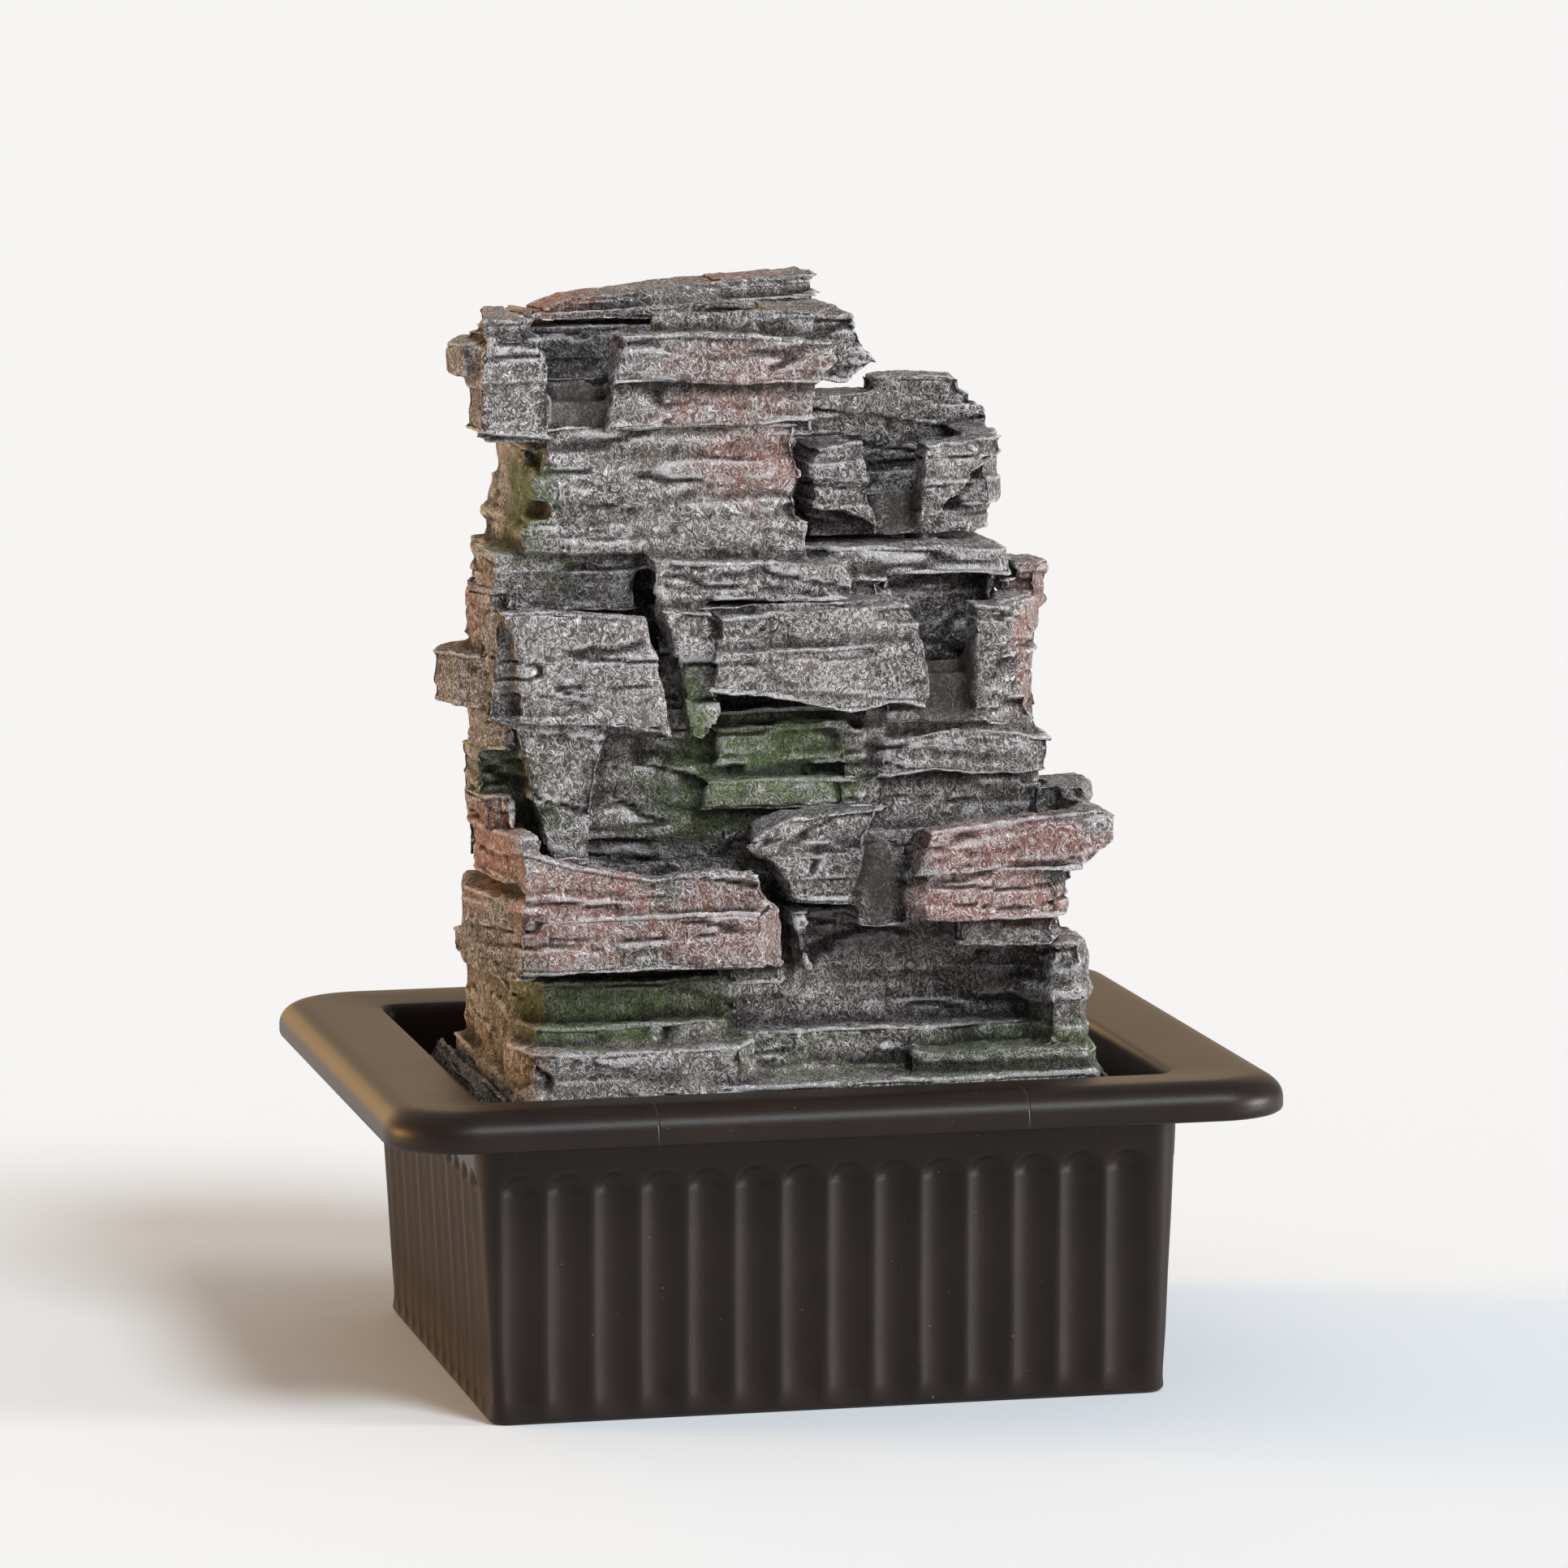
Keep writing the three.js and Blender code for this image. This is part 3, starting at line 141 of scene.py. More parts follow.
class Finish:
    """A material, with one way to add any node to it."""

    def __init__(self, name, **sockets):
        self.material = bpy.data.materials.new(name)
        self.material.use_nodes = True
        self.tree = self.material.node_tree
        self.shader = self.tree.nodes["Principled BSDF"]
        for socket, value in sockets.items():
            self.shader.inputs[socket.replace("_", " ")].default_value = value

    def node(self, kind, settings, values=(), output=0):
        """values are in the order of the node's inputs, or a dictionary by their names."""
        made = self.tree.nodes.new(kind)
        for name, value in settings.items():
            setattr(made, name, value)
        pairs = values.items() if isinstance(values, dict) else enumerate(values)
        for key, value in pairs:
            if isinstance(value, Socket):
                self.tree.links.new(value.link, made.inputs[key])
            elif value is not None:
                made.inputs[key].default_value = value
        return Socket(self, made.outputs[output])

    def place(self):
        return self.node("ShaderNodeTexCoord", {}, output="Object")

    def scaled(self, factors):
        """The place on the piece, stretched by three factors."""
        values = {"Vector": self.place(), "Scale": factors}
        return self.node("ShaderNodeMapping", {}, values, "Vector")

    def noise(self, scale, detail=2.0, roughness=0.5, stretch=(1, 1, 1), distortion=0.0):
        values = {
            "Vector": self.scaled(stretch),
            "Scale": scale,
            "Detail": detail,
            "Roughness": roughness,
            "Distortion": distortion,
        }
        return self.node("ShaderNodeTexNoise", {}, values)

    def painted(self, name):
        """An attribute of the mesh."""
        return self.node("ShaderNodeAttribute", {"attribute_name": name}, output="Fac")

    def mix(self, factor, first, second):
        settings = {"data_type": "RGBA"}
        return self.node("ShaderNodeMix", settings, {0: factor, 6: first, 7: second}, 2)

    def feed(self, socket, value):
        self.tree.links.new(value.link, self.shader.inputs[socket])

    def bump(self, height, depth):
        """Roughens the surface: a height of 1 stands depth metres proud."""
        values = {"Height": height, "Distance": depth, "Strength": 1.0}
        self.feed("Normal", self.node("ShaderNodeBump", {}, values))


def linear(red, green, blue):
    """A paint colour, given from 0 to 255 as it is seen, for a shader."""
    return tuple((c / 255) ** 2.2 for c in (red, green, blue)) + (1.0,)


def add_piece(name, mesh, material, body, slot, *nodes):
    piece = bpy.data.objects.new(name, mesh)
    bpy.context.scene.collection.objects.link(piece)
    mesh.materials.clear()
    mesh.materials.append(material)
    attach(piece, body)
    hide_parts(*nodes)
    return piece


def arc(centre, radius, start, end, steps):
    """Points on an arc in the section's (inset, height) plane, angles in degrees."""
    turns = [math.radians(angle) for angle in np.linspace(start, end, steps)]
    return [
        (centre[0] + radius[0] * math.cos(turn), centre[1] + radius[1] * math.sin(turn))
        for turn in turns
    ]


def tub_section():
    """The tub's section, from its foot up the outside, round the rim and down to its floor."""
    rim_under = RIM_TOP - RIM_HEIGHT
    foot = OVERHANG + TAPER
    arch = rim_under - PLAIN_BAND
    points = arc((foot + FOOT_ROUND, FOOT_ROUND), (FOOT_ROUND, FOOT_ROUND), 270, 180, 5)
    wall = [6, 16, 30, 44, *np.arange(arch - 8, arch + 1.5, 0.6), arch + 5, rim_under + 2]
    points += [(OVERHANG + TAPER * (1 - z / rim_under), z) for z in wall]
    roof = RIM_TOP - 3 * WALL / 2
    points += arc((OVERHANG - 2, roof - 2), (2, 2), 0, 90, 4)
    points += arc((WALL + 4, roof - 4), (4, 4), 90, 180, 5)
    points += arc((WALL / 2, rim_under + WALL / 2), (WALL / 2, WALL / 2), 0, -180, 6)
    points += [(0, rim_under + 2.5)]
    points += arc((CROWN_INSET, RIM_TOP - 6), (CROWN_INSET, 6), 180, 90, 12)
    inner = OVERHANG + WALL
    points += [(CROWN_INSET + 6, RIM_TOP - 0.25), (inner - 6, RIM_TOP - 0.8)]
    points += arc((inner - 2.5, RIM_TOP - 3.6), (2.5, 2.6), 90, 0, 6)
    points += [(inner + TAPER * (1 - z / rim_under), z) for z in (68, 50, 25)]
    round_up = FLOOR + 2
    points += arc((inner + TAPER + 2, round_up), (2, 2), 180, 270, 4)
    return np.array(points)


def tub_outline():
    """Round the tub from above: how far each column lies along the straights, and which way it faces."""
    columns = []
    straight = [FLUTES_WIDE * FLUTE_STEPS, FLUTES_DEEP * FLUTE_STEPS] * 2
    for side, steps in enumerate(straight):
        facing = math.pi * (side - 1) / 2
        out = np.round([math.cos(facing), math.sin(facing)])
        along = np.round([-math.sin(facing), math.cos(facing)])
        for t in np.linspace(-1, 1, steps + 1):
            columns.append([*(out + t * along), facing])
        for turn in np.linspace(0, math.pi / 2, CORNER_STEPS + 1)[1:-1]:
            columns.append([*(out + along), facing + turn])
    columns.append([*columns[0][:2], columns[0][2] + 2 * math.pi])
    return np.array(columns)


def flute_depth(along, height, count, shift):
    """How deep a round-topped flute is cut at a place on the wall."""
    offset = along - shift + count * FLUTE_PITCH / 2
    inside = (offset > 0) & (offset < count * FLUTE_PITCH)
    across = np.mod(offset, FLUTE_PITCH) - FLUTE_PITCH / 2
    centre_height = RIM_TOP - RIM_HEIGHT - PLAIN_BAND - FLUTE_HALF
    above = np.maximum(0, height - centre_height)
    reach = 1 - (across**2 + above**2) / FLUTE_HALF**2
    steep = 1 + 0.9 * np.minimum(1, above / FLUTE_HALF)
    fade = np.clip((height - 0.5) / 3, 0, 1)
    return FLUTE_DEPTH * inside * fade * np.clip(reach * steep, 0, 1)


def tub_mesh():
    """A sheet of columns by rows, wrapped round the outline and along the section, then closed."""
    columns, rows = tub_outline(), tub_section()
    bm = bmesh.new()
    bmesh.ops.create_grid(bm, x_segments=len(columns) - 1, y_segments=len(rows) - 1, size=1)
    at = np.array([v.co for v in bm.verts])
    column = columns[np.rint((at[:, 0] + 1) / 2 * (len(columns) - 1)).astype(int)]
    inset, height = rows[np.rint((at[:, 1] + 1) / 2 * (len(rows) - 1)).astype(int)].T
    wall_inset = (0, OVERHANG, OVERHANG + WALL)
    corner = np.interp(inset, wall_inset, (RIM_CORNER, WALL_CORNER, WALL_CORNER - WALL))
    facing = np.stack([np.cos(column[:, 2]), np.sin(column[:, 2])], axis=1)
    place = column[:, :2] * (np.array(RIM_HALF) - inset[:, None] - corner[:, None])
    place += corner[:, None] * facing
    wall_line = OVERHANG + TAPER * (1 - height / (RIM_TOP - RIM_HEIGHT))
    outer_wall = np.abs(inset - wall_line) < 0.01
    wide = np.abs(facing[:, 1]) > np.abs(facing[:, 0])
    front = wide & (facing[:, 1] < 0)
    depth = np.where(
        wide,
        flute_depth(place[:, 0], height, FLUTES_WIDE, FLUTE_SHIFT * front),
        flute_depth(place[:, 1], height, FLUTES_DEEP, 0),
    )
    place -= (depth * outer_wall)[:, None] * facing
    for vertex, (x, y), z in zip(bm.verts, place, height):
        vertex.co = (x * MM, y * MM, z * MM)
    bmesh.ops.remove_doubles(bm, verts=bm.verts, dist=0.01 * MM)
    for face in bm.faces:
        face.smooth = True
    bmesh.ops.holes_fill(bm, edges=[e for e in bm.edges if e.is_boundary], sides=0)
    bmesh.ops.recalc_face_normals(bm, faces=bm.faces)
    mesh = bpy.data.meshes.new("tub")
    bm.to_mesh(mesh)
    bm.free()
    return mesh


def tub_finish():
    """Satin brown plastic with a faint mottle, a few pale specks, fine scuffs and the mould's seams."""
    finish = Finish("tub_plastic", Specular_IOR_Level=0.26)
    mottle = finish.noise(45, 3.0, 0.6)
    grain = finish.noise(2600, 2.0)
    specks = finish.noise(900, 1.0).between(0.79, 0.84)
    scuffs = finish.noise(150, 4.0, 0.7, (1, 1, 0.15), 1.5).between(0.66, 0.8)
    place = finish.node("ShaderNodeSeparateXYZ", {}, [finish.place()], "X")
    height = finish.node("ShaderNodeSeparateXYZ", {}, [finish.place()], "Z")
    on_rim = height.between(0.0705, 0.0712)
    seam = 0.0
    for across in MOULD_SEAMS:
        seam = 1 - abs(place - across).between(0.00005, 0.0003) + seam
    seam = (seam * on_rim).clipped()
    dark, light = linear(32, 24, 21), linear(38, 29, 25)
    colour = finish.mix(mottle.between(0.3, 0.7), dark, light)
    colour = finish.mix(specks * 0.35, colour, linear(150, 140, 130))
    colour = finish.mix(scuffs * 0.12, colour, linear(130, 120, 112))
    finish.feed("Base Color", finish.mix(seam * 0.12, colour, linear(110, 100, 92)))
    finish.feed("Roughness", 0.39 + mottle * 0.05 + scuffs * 0.15)
    finish.bump(mottle * 0.25 + grain * 0.06 + scuffs * 0.05 - seam * 0.2, 0.0005)
    return finish.material


add_piece("tub", tub_mesh(), tub_finish(), "basin", "tub_plastic", "tub_shell")


# ---------------------------------------------------------------- rock tower
# The main casting, a hollow polyresin shell moulded from split slate. It is painted grey, washed
# dark in its cracks, tinted green and pink by airbrush and dry-brushed white over every high spot.
# Painted shade darkens its wider hollows and the recesses of its pools.
# Places and lengths here are in millimetres. A bed is (outline, front, back).
TABLE_SIZE = 32
TABLE_STRIDE = 5.37
random_table = np.random.default_rng(7).uniform(-1, 1, (TABLE_SIZE,) * 3).astype(np.float32)
STRATUM = 2.1


def rough(points, size, shift=0):
    """Smooth random values from -1 to 1 that change over size, three lengths in millimetres."""
    place = points / np.array(size, np.float32) + shift * TABLE_STRIDE
    cell = np.floor(place)
    part = place - cell
    part = part * part * (3 - 2 * part)
    cell = cell.astype(np.int64)
    total = np.zeros(len(points), np.float32)
    for corner in range(8):
        step = np.array([corner & 1, corner >> 1 & 1, corner >> 2 & 1])
        index = (cell + step) % TABLE_SIZE
        weight = np.prod(np.where(step, part, 1 - part), axis=1)
        total += weight * random_table[index[:, 0], index[:, 1], index[:, 2]]
    return total


def step_between(values, low, high):
    share = np.clip((values - low) / (high - low), 0, 1)
    return share * share * (3 - 2 * share)


def eased(values, edges, rounds):
    """values at the points, each averaged with its neighbours' several times."""
    count = len(values)
    ends = np.concatenate([edges[:, 0], edges[:, 1]])
    others = np.concatenate([edges[:, 1], edges[:, 0]])
    neighbours = np.bincount(ends, minlength=count)
    for _ in range(rounds):
        sums = [np.bincount(ends, values[others, k], count) for k in range(values.shape[1])]
        values = np.stack(sums, axis=1) / neighbours[:, None]
    return values


def proud(points, normals, edges, rounds):
    """How far each point stands out of its neighbourhood: above 0 on an edge, below 0 in a crack."""
    return np.einsum("ij,ij->i", points - eased(points, edges, rounds), normals)


def points_of(mesh):
    values = np.empty(len(mesh.vertices) * 3, np.float32)
    mesh.vertices.foreach_get("co", values)
    return values.reshape(-1, 3) / MM


def normals_of(mesh):
    values = np.empty(len(mesh.vertices) * 3, np.float32)
    mesh.vertex_normals.foreach_get("vector", values)
    return values.reshape(-1, 3)


def edges_of(mesh):
    values = np.empty(len(mesh.edges) * 2, np.int32)
    mesh.edges.foreach_get("vertices", values)
    return values.reshape(-1, 2)


def set_points(mesh, points):
    mesh.vertices.foreach_set("co", (points * MM).astype(np.float32).ravel())
    mesh.update()


def paint(mesh, name, values):
    attribute = mesh.attributes.new(name, "FLOAT", "POINT")
    attribute.data.foreach_set("value", np.clip(values, 0, 1).astype(np.float32))


def with_modifier(mesh, kind, **settings):
    """The mesh after one modifier."""
    piece = bpy.data.objects.new("work", mesh)
    bpy.context.scene.collection.objects.link(piece)
    modifier = piece.modifiers.new("work", kind)
    for name, value in settings.items():
        setattr(modifier, name, value)
    graph = bpy.context.evaluated_depsgraph_get()
    result = bpy.data.meshes.new_from_object(piece.evaluated_get(graph))
    bpy.data.objects.remove(piece)
    return result


def bedding(points):
    """Each point's height in the slate's own beds, which wave and dip a little."""
    wave = 1.7 * rough(points, (30, 30, 20), 1) + 0.6 * rough(points, (9, 9, 7), 2)
    return points[:, 2] + wave + 0.035 * points[:, 0]


def split_faces(points, normals):
    """How deep the weather has cut, in millimetres, and how dark the cracks between beds are."""
    bed = np.column_stack([points[:, :2], bedding(points)])
    upright = 1 - step_between(np.abs(normals[:, 2]), 0.55, 0.95)
    open_here = step_between(rough(points, (20, 20, 7), 3), -0.2, 0.25)
    line = np.abs(rough(bed, (34, 34, 1.8 * STRATUM), 4))
    cracks = np.exp(-((line / 0.055) ** 2)) * open_here
    fine = np.abs(rough(bed, (20, 20, STRATUM), 5))
    hairs = np.exp(-((fine / 0.08) ** 2)) * step_between(rough(points, (12, 12, 6), 6), 0.1, 0.5)
    leaves = 0.5 + 0.5 * rough(bed, (19, 19, 1.6 * STRATUM), 7)
    steps = step_between(rough(bed, (24, 24, 2.2 * STRATUM), 21), -0.1, 0.1)
    lumps = 0.5 + 0.5 * rough(points, (6.5, 6.5, 5), 8)
    pits = 0.5 + 0.5 * rough(points, (2.3, 2.3, 2.3), 9)
    strokes = 0.5 + 0.5 * rough(points, (1.4, 1.4, 1.8), 10)
    depth = upright * (1.4 * cracks + 0.4 * hairs + 0.7 * leaves + 0.9 * steps)
    depth += 0.6 * lumps + 0.42 * pits + 0.36 * strokes
    return depth, upright * np.maximum(cracks, 0.6 * hairs)


def patch_cover(points, patches):
    """How strongly a set of patches covers each point: (centre, radii, strength) each. They are sprayed
    tints, smooth spillways and painted shade.
    """
    cover = np.zeros(len(points), np.float32)
    blur = 0.35 * rough(points, (9, 9, 7), 11) + 0.25 * rough(points, (3, 3, 3), 12)
    for centre, radii, strength in patches:
        reach = np.linalg.norm((points - centre) / radii, axis=1) + blur
        cover = np.maximum(cover, strength * (1 - step_between(reach, 0.55, 1.15)))
    return cover


def wavy(points):
    """A drift of up to a millimetre, the same for neighbouring stones, so that their seams stay."""
    drift = [
        rough(points, (15, 15, 9), 13 + axis) + 0.4 * rough(points, (5, 5, 4), 17 + axis)
        for axis in range(3)
    ]
    return points + np.stack(drift, axis=1) * (0.55, 0.35, 0.55)


def add_bed(bm, outline, front, back):
    """A bed of slate: an outline of (x, z) points, from a front to a back."""
    corners = [bm.verts.new((x * MM, front * MM, z * MM)) for x, z in outline]
    face = bm.faces.new(corners)
    pushed = bmesh.ops.extrude_face_region(bm, geom=[face])["geom"]
    moved = [item for item in pushed if isinstance(item, bmesh.types.BMVert)]
    bmesh.ops.translate(bm, verts=moved, vec=(0, (back - front) * MM, 0))


def weathered(name, nodes, voxel, most_faces, beds=(), moss=(), rust=(), painted_shade=(), smooth=()):
    """The nodes' stone with split beds, worn edges, paint masks and painted shade masks, cut to most_faces
    triangles.
    """
    bm = bmesh.new()
    for node in nodes:
        bm.from_mesh(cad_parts[node].data)
    bmesh.ops.remove_doubles(bm, verts=bm.verts, dist=0.001 * MM)
    kept_faces = len(bm.faces)
    for outline, front, back in beds:
        add_bed(bm, outline, front, back)
    bm.faces.ensure_lookup_table()
    bmesh.ops.recalc_face_normals(bm, faces=bm.faces[kept_faces:])
    plain = bpy.data.meshes.new(name + "_plain")
    bm.to_mesh(plain)
    bm.free()
    mesh = with_modifier(plain, "REMESH", mode="VOXEL", voxel_size=voxel * MM)
    edges = edges_of(mesh)
    at = points_of(mesh)
    rounds = max(2, round(6 / voxel))
    edge = proud(at, normals_of(mesh), edges, rounds)
    worn = np.clip(edge / 0.7, 0, 1) * (0.45 + 0.55 * rough(at, (5, 5, 4), 20))
    polish = patch_cover(at, smooth)
    depth, cracks = split_faces(at, normals_of(mesh))
    depth = depth * (1 - 0.85 * polish) + 0.9 * np.maximum(worn, 0)
    set_points(mesh, wavy(at - normals_of(mesh) * depth[:, None]))
    at = points_of(mesh)
    normals = normals_of(mesh)
    near = proud(at, normals, edges, 2)
    wide = proud(at, normals, edges, rounds)
    paint(mesh, "edge", near * 3.0 + wide * 0.7 - 0.14)
    # A dark wash in the fine cracks, with painted shade in the wider hollows.
    paint(mesh, "wash_and_painted_shade", -near * 1.5 - wide * 0.7 - 0.12 + 0.6 * cracks * (1 - polish))
    paint(mesh, "moss", patch_cover(at, moss))
    paint(mesh, "rust", patch_cover(at, rust))
    # Painted shade: the listed patches in the pools and recesses, darkened in the finish.
    paint(mesh, "painted_shade", patch_cover(at, painted_shade))
    paint(mesh, "polish", polish)
    triangles = len(mesh.polygons) * 2
    if triangles > most_faces:
        ratio = most_faces / triangles
        mesh = with_modifier(mesh, "DECIMATE", decimate_type="COLLAPSE", ratio=ratio)
    mesh.name = name
    mesh.polygons.foreach_set("use_smooth", [True] * len(mesh.polygons))
    return mesh


def stone_finish():
    """Grey resin: dark wash in the cracks, painted shade in the wider hollows and the listed recesses,
    sprayed tints, then white dry-brushed over the grain.
    """
    finish = Finish("slate_paint", Specular_IOR_Level=0.25)
    edge, wash_and_painted_shade = finish.painted("edge"), finish.painted("wash_and_painted_shade")
    polish, painted_shade = finish.painted("polish"), finish.painted("painted_shade")
    moss, rust = finish.painted("moss"), finish.painted("rust")
    clouds = finish.noise(42, 3.0, 0.6)
    grain = finish.noise(470, 2.0, 0.6, (1, 1, 0.85), 1.8)
    pecks = finish.noise(820, 2.0, 0.6, (1, 1, 0.85), 1.6)
    worms = 1 - (abs(grain - 0.5) * 13.0).clipped()
    ticks = 1 - (abs(pecks - 0.5) * 20.0).clipped()
    base = finish.mix(clouds.between(0.35, 0.65), linear(86, 77, 71), linear(121, 110, 102))
    base = finish.mix(rust * 0.85, base, linear(156, 98, 86))
    base = finish.mix(moss * 0.9, base, linear(86, 110, 48))
    pits = (grain.between(0.46, 0.3) * 0.6 + pecks.between(0.42, 0.3) * 0.4) * (1 - polish * 0.8)
    base = finish.mix(pits.clipped() * 0.75, base, linear(50, 45, 42))
    # Painted shade: the listed recesses turn dark grey.
    base = finish.mix(painted_shade * 0.6, base, linear(54, 49, 46))
    base = finish.mix(polish * 0.85, base, linear(66, 58, 53))
    # The dark wash in the cracks, with painted shade in the wider hollows.
    dark = (wash_and_painted_shade * 1.2).clipped()
    base = finish.mix(dark * 0.85, base, linear(34, 31, 30))
    # The dry-brushed white fades in the painted shade, the dark wash and the moss.
    worn = (edge * 1.2 + clouds * 0.9 - 0.25 - dark * 1.2 - painted_shade * 0.4).between(-0.1, 0.7)
    brushed = worms * (0.74 + worn * 0.6) + ticks * worn * 0.4 + edge.between(0.45, 1.0) * 0.7
    brushed = brushed * (1 - polish * 0.85) * (1 - painted_shade * 0.4) * (1 - moss * 0.6) * (1 - dark * 0.7)
    white = finish.mix(rust * 0.3, linear(246, 243, 245), linear(236, 196, 186))
    finish.feed("Base Color", finish.mix(brushed.clipped() * 0.95, base, white))
    finish.feed("Roughness", 0.86 - brushed.clipped() * 0.08 - polish * 0.2)
    relief = (worms * 0.6 + grain * 0.9 + ticks * 0.3 + pecks * 0.5) * (1 - polish * 0.75)
    finish.bump(relief, 0.0012)
    return finish.material


stone_paint = stone_finish()
CORE_SECTIONS = ("rock_core_foot", "rock_core_waist", "rock_core_shoulder", "rock_core_crown")
core_mesh = weathered(
    "casting", CORE_SECTIONS, 0.95, 190_000,
    beds=[
        (((-60, 211), (2, 211), (4, 219), (-58, 219)), -31.8, -10),
        (((-61, 227), (3, 227), (4, 236), (-60, 236)), -31, -12),
        (((-34, 192), (-20, 191), (-18, 166), (-23, 159), (-27, 161)), -43, -15),
        (((-71, 166), (-46, 166), (-50, 148), (-51, 131), (-62, 131), (-67, 146)), -44, -12),
        (((12, 140), (24, 140), (24, 160), (12, 160)), -35, -12),
        (((-72, 182), (-40, 182), (-38, 191), (-72, 191)), -27, -12),
        (((-74, 190), (-36, 190), (-37, 199), (-74, 199)), -29.5, -12),
        (((-8, 100), (60, 100), (60, 118), (-8, 118)), -39, -25),
        (((-78, 158), (-66, 161), (-58, 131), (-71, 133), (-78, 142)), -31, -10),
        (((-48, 139), (18, 139), (18, 166), (-48, 166)), -30, -12),
        (((18, 156), (64, 157), (60, 168), (18, 168)), -33, -12),
    ],
    moss=[
        ((-66, -16, 216), (17, 22, 18), 1.0),
        ((-5, -36, 154), (28, 20, 16), 1.0),
        ((-18, -36, 142), (26, 18, 12), 0.8),
        ((-27, -42, 166), (8, 14, 13), 0.9),
        ((-70, -30, 147), (13, 20, 15), 0.8),
        ((-50, -48, 98), (40, 24, 13), 1.0),
        ((0, -56, 86), (28, 16, 10), 0.5),
        ((48, -50, 82), (34, 18, 9), 0.7),
        ((62, 0, 205), (12, 16, 10), 0.4),
    ],
    rust=[
        ((-8, -30, 226), (24, 16, 10), 0.8),
        ((60, -26, 170), (8, 18, 9), 0.5),
        ((60, -44, 112), (14, 14, 8), 0.5),
    ],
    # Painted shade in the pools and niches.
    painted_shade=[
        ((-52, -22, 189), (22, 12, 9), 0.25),
        ((44, -20, 186), (12, 8, 12), 0.5),
        ((46, -30, 139), (20, 8, 9), 0.35),
        ((-40, -32, 130), (28, 8, 9), 0.3),
        ((20, -38, 106), (34, 14, 20), 0.15),
    ],
)
add_piece("rock_tower_casting", core_mesh, stone_paint, "rock_tower", "grey_stone", *CORE_SECTIONS)


# ---------------------------------------------------------------- foot ledges
# The lowest ledges, a separate ring of cast slate round the tower's foot. It fills the tub's mouth
# but for a narrow gap, is bedded on the tower with glue and lies just under the rim.
skirt_mesh = weathered(
    "foot_ledges", ["base_skirt"], 0.9, 150_000,
    moss=[((-60, -55, 78), (26, 40, 10), 0.35), ((40, -60, 78), (50, 16, 10), 0.5)],
)
add_piece("foot_ledges", skirt_mesh, stone_paint, "rock_tower", "green_stone", "base_skirt")


# ---------------------------------------------------------------- lower bowls
# Two wide catch bowls of pinker slate, cast on their own and glued to the tower's foot. The left
# one is filled from the middle left spout, the right one from the middle right spout.
lower_left = weathered(
    "lower_left_basin", ["lower_left_bowl"], 0.75, 150_000,
    moss=[((-40, -45, 103), (40, 20, 6), 0.5)],
    rust=[
        ((-76, -32, 134), (12, 20, 14), 1.0),
        ((-60, -58, 122), (26, 12, 14), 0.8),
        ((-22, -62, 118), (20, 12, 12), 0.6),
    ],
)
add_piece("lower_left_basin", lower_left, stone_paint, "rock_tower", "pink_stone", "lower_left_bowl")
lower_right = weathered(
    "lower_right_basin", ["lower_right_bowl"], 0.75, 170_000,
    rust=[
        ((48, -56, 134), (28, 14, 9), 0.9),
        ((44, -56, 120), (26, 14, 8), 0.9),
        ((74, -40, 128), (12, 20, 14), 0.6),
    ],
    smooth=[((17.5, -54, 126), (8, 12, 14), 1.0)],
)
add_piece("lower_right_basin", lower_right, stone_paint, "rock_tower", "pink_stone", "lower_right_bowl")


# ---------------------------------------------------------------- middle bowls
# Two catch bowls half way up, of grey slate. The left one pours down a narrow channel beside its
# wall, the right one over a smooth spillway between two cheeks.
middle_left = weathered(
    "middle_left_basin", ["middle_left_bowl"], 0.75, 160_000,
    beds=[(((-77, 166), (-69, 164), (-69, 190), (-75, 191)), -43, -22)],
    moss=[((-27, -46, 168), (7, 12, 14), 0.8)],
    rust=[((-80, -20, 190), (8, 16, 10), 0.8)],
)
add_piece("middle_left_basin", middle_left, stone_paint, "rock_tower", "grey_stone", "middle_left_bowl")
middle_right = weathered(
    "middle_right_basin", ["middle_right_bowl"], 0.75, 170_000,
    beds=[(((-28, 179), (31, 180), (28, 193), (-24, 192)), -40, -24)],
    # Painted shade in the bowl's pool.
    painted_shade=[((38, -26, 186), (10, 8, 12), 0.5)],
    moss=[((-8, -44, 160), (18, 10, 4), 0.4)],
    rust=[
        ((66, -20, 194), (9, 14, 7), 0.8),
        ((62, -32, 183), (7, 12, 8), 0.9),
        ((64, -20, 170), (8, 20, 8), 0.6),
    ],
    smooth=[((37.5, -38, 170), (8, 12, 13), 1.0)],
)
add_piece("middle_right_basin", middle_right, stone_paint, "rock_tower", "grey_stone", "middle_right_bowl")


# ---------------------------------------------------------------- upper right bowl
# A small bowl on the tower's right shoulder. The branch hose fills it from below, and it pours to
# the front between two cheeks.
upper_right = weathered(
    "upper_right_basin", ["upper_right_bowl"], 0.65, 150_000,
    # Painted shade inside the bowl.
    painted_shade=[((34, 2, 228), (18, 14, 16), 0.35)],
    smooth=[((29.5, -20, 211), (8, 10, 11), 1.0)],
)
add_piece("upper_right_basin", upper_right, stone_paint, "rock_tower", "grey_stone", "upper_right_bowl")


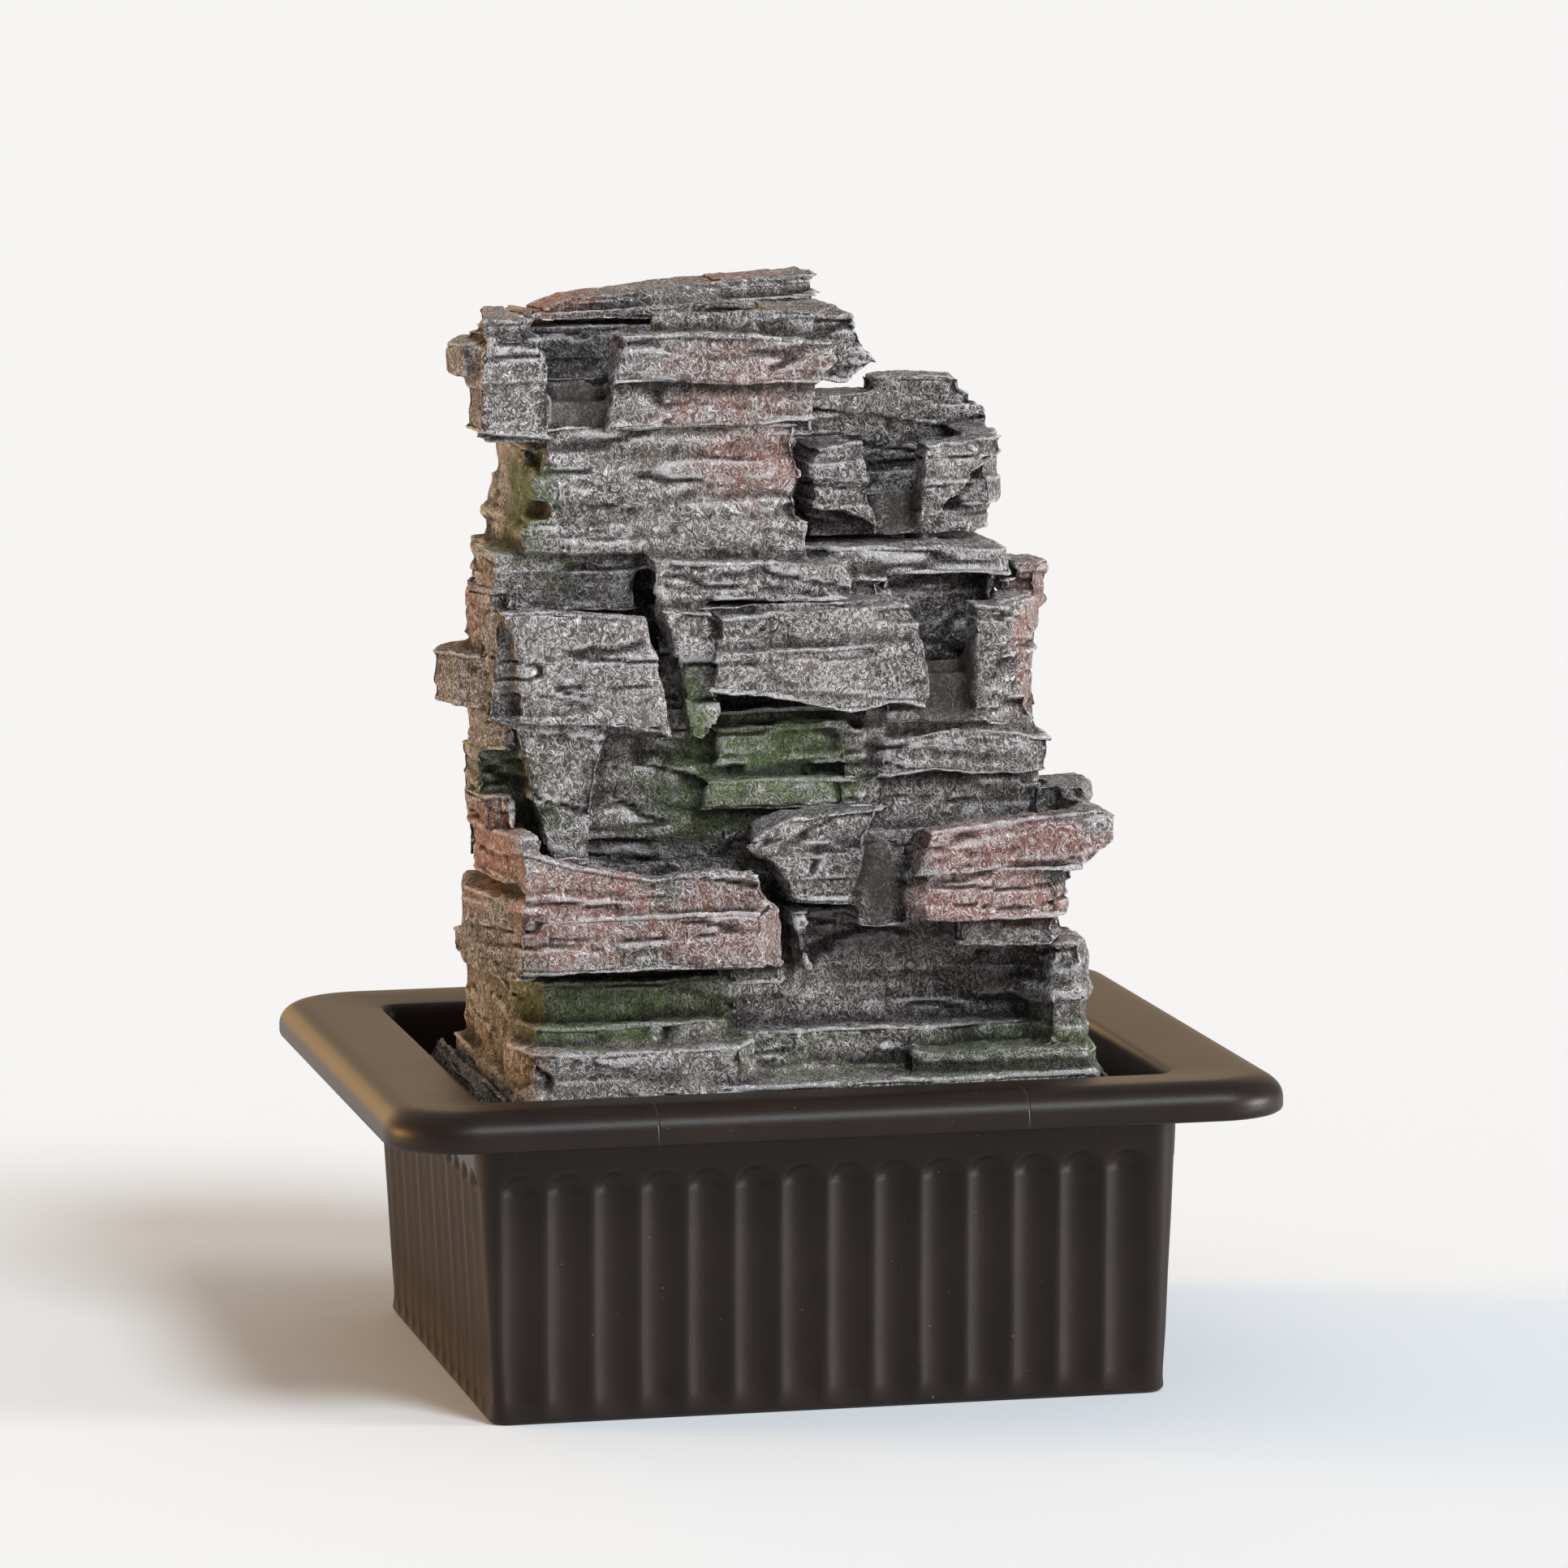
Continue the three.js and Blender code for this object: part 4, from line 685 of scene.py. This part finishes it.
# ---------------------------------------------------------------- top bowl and cap
# The highest bowl, into which the riser hose opens, with its own smooth spillway at the left, and
# the flat reddish stone that is glued behind it as the fountain's top.
top_bowl = weathered(
    "top_basin", ["top_bowl"], 0.75, 170_000,
    rust=[((-14, -38, 240), (26, 12, 10), 0.7), ((-10, -34, 250), (24, 10, 6), 0.35)],
    # Painted shade in the bowl's pool behind the spillway.
    painted_shade=[((-50, 0, 254), (14, 18, 16), 0.95)],
    smooth=[((-51, -28, 240), (8, 12, 12), 1.0)],
)
add_piece("top_basin", top_bowl, stone_paint, "rock_tower", "pink_stone", "top_bowl")
cap = weathered(
    "cap_stone", ["cap_stone"], 0.5, 110_000,
    rust=[((-50, 14, 266), (16, 22, 8), 1.0), ((-20, 24, 270), (34, 16, 3), 0.9)],
)
add_piece("top_stone", cap, stone_paint, "rock_tower", "pink_stone", "cap_stone")


# ---------------------------------------------------------------- pump
# A small submersible pump of black plastic, held to the tub's floor by four suction cups: a potted
# motor block behind, and a pump cover and a slotted strainer cover that push onto its front.
MOULDED_EDGE = 0.5
SHARP_FOLD = math.radians(50)
SUCTION_CUPS = ("suction_cup_1", "suction_cup_2", "suction_cup_3", "suction_cup_4")


def moulded_finish(name, colour, roughness, metallic):
    """Moulded plastic, cast or drawn metal: a fine grain and a cloudy sheen."""
    finish = Finish(name, Metallic=metallic)
    clouds = finish.noise(90, 3.0)
    grain = finish.noise(3200, 2.0)
    lighter = tuple(min(1.0, c * 1.35 + 0.004) for c in colour[:3]) + (1.0,)
    finish.feed("Base Color", finish.mix(clouds.between(0.35, 0.7), colour, lighter))
    finish.feed("Roughness", roughness + clouds * 0.12)
    finish.bump(grain * 0.6 + clouds * 0.4, 0.00006)
    return finish.material


def softened(node):
    """The node's shell with its sharp edges rounded, as a mould leaves them."""
    bm = bmesh.new()
    bm.from_mesh(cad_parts[node].data)
    bmesh.ops.remove_doubles(bm, verts=bm.verts, dist=0.001 * MM)
    bmesh.ops.dissolve_limit(bm, angle_limit=math.radians(1), verts=bm.verts, edges=bm.edges)
    sharp = [e for e in bm.edges if e.is_manifold and e.calc_face_angle() > SHARP_FOLD]
    bmesh.ops.bevel(
        bm, geom=sharp, offset=MOULDED_EDGE * MM, offset_type="OFFSET", segments=2, profile=0.5,
        affect="EDGES", clamp_overlap=True, material=-1)
    bmesh.ops.triangulate(bm, faces=[f for f in bm.faces if len(f.verts) > 4])
    for face in bm.faces:
        face.smooth = True
    mesh = bpy.data.meshes.new(node + "_softened")
    bm.to_mesh(mesh)
    bm.free()
    mesh.set_sharp_from_angle(angle=math.radians(40))
    return mesh


def coat(material, *nodes):
    """Gives CAD nodes a material in place of their own."""
    for node in nodes:
        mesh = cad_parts[node].data
        mesh.materials.clear()
        mesh.materials.append(material)


def add_shell(name, node, body, slot):
    """A softened shell, in the plain finish that is already named after its slot."""
    add_piece(name, softened(node), bpy.data.materials[slot], body, slot, node)


add_shell("motor_block", "pump_housing", "basin", "pump_plastic")
add_shell("pump_cover", "volute_cover", "basin", "pump_plastic")
add_shell("strainer", "strainer_cover", "strainer", "pump_plastic")
add_shell("throttle_slider", "flow_slider", "throttle", "slider_plastic")
coat(moulded_finish("gland_plastic", linear(28, 29, 31), 0.38, 0.0), "cable_gland")
coat(moulded_finish("bobbin_plastic", linear(205, 198, 180), 0.45, 0.0), "coil_bobbin")
coat(moulded_finish("core_steel", linear(120, 122, 126), 0.35, 1.0), "stator_core")
coat(moulded_finish("copper_wire", linear(184, 98, 52), 0.3, 1.0), "coil_winding")
coat(moulded_finish("potting_resin", linear(22, 22, 24), 0.3, 0.0), "potting_plug")
ceramic = moulded_finish("white_ceramic", linear(232, 230, 224), 0.22, 0.0)
coat(ceramic, "rotor_shaft", "front_bush", "rear_bush")
coat(moulded_finish("magnet", linear(54, 54, 58), 0.4, 0.3), "rotor_magnet")
fitting = moulded_finish("fitting_plastic", linear(34, 35, 38), 0.4, 0.0)
coat(fitting, "impeller")
coat(moulded_finish("soft_rubber", linear(38, 38, 40), 0.6, 0.0), *SUCTION_CUPS, "cover_gasket")


# ---------------------------------------------------------------- hoses and outlets
# Clear vinyl hose pushed onto barbed black fittings inside the tower: the riser from the pump, a
# tee half way up, a branch to the right shoulder, and the two outlets under the pools.
coat(fitting, "hose_tee", "branch_elbow", "branch_outlet", "top_outlet")
vinyl = moulded_finish("clear_vinyl", linear(205, 212, 208), 0.18, 0.0)
coat(vinyl, "lower_riser_hose", "upper_riser_hose", "branch_hose", "branch_riser_hose")


# ---------------------------------------------------------------- studio
# A plain pale floor without an edge in view, a large soft light from above in front, a low one
# from the right, low warm ones from the left and from behind, and an even white surround.
floor_finish = Finish("studio_floor", Roughness=0.95, Specular_IOR_Level=0.0)
floor_shade = floor_finish.noise(0.4)
floor_dark, floor_light = (0.835, 0.874, 0.908, 1), (0.84, 0.879, 0.913, 1)
floor_finish.feed("Base Color", floor_finish.mix(floor_shade, floor_dark, floor_light))
floor_mesh = bpy.data.meshes.new("studio_floor")
bm = bmesh.new()
bmesh.ops.create_grid(bm, x_segments=8, y_segments=8, size=80)
bm.to_mesh(floor_mesh)
bm.free()
floor = bpy.data.objects.new("studio_floor", floor_mesh)
floor_mesh.materials.append(floor_finish.material)
bpy.context.scene.collection.objects.link(floor)


def far_light(name, bearing, height, softness, strength, colour):
    """A light far away. bearing is to the right of straight in front, height above level, in degrees."""
    data = bpy.data.lights.new(name, "SUN")
    data.angle = math.radians(softness)
    data.energy = strength
    data.color = colour
    made = bpy.data.objects.new(name, data)
    turn, lift = math.radians(bearing), math.radians(height)
    place = Vector((math.sin(turn) * math.cos(lift), -math.cos(turn) * math.cos(lift), math.sin(lift)))
    made.rotation_euler = place.to_track_quat("Z", "Y").to_euler()
    bpy.context.scene.collection.objects.link(made)


far_light("key_light", 24, 44, 18, 2.1, (0.9, 0.95, 1.0))
far_light("side_light", 70, 6, 19, 4.2, (1.0, 0.985, 0.97))
far_light("warm_back_light", -158, 8, 36, 0.7, (1.0, 0.58, 0.2))
far_light("warm_right_back_light", 166, 8, 40, 0.28, (1.0, 0.6, 0.22))
far_light("warm_side_light", -112, 8, 26, 3.1, (1.0, 0.55, 0.17))
world = bpy.data.worlds.new("studio")
world.use_nodes = True
world.node_tree.nodes["Background"].inputs["Color"].default_value = (1, 1, 1, 1)
world.node_tree.nodes["Background"].inputs["Strength"].default_value = 0.35
bpy.context.scene.world = world
bpy.context.scene.view_settings.view_transform = "Standard"
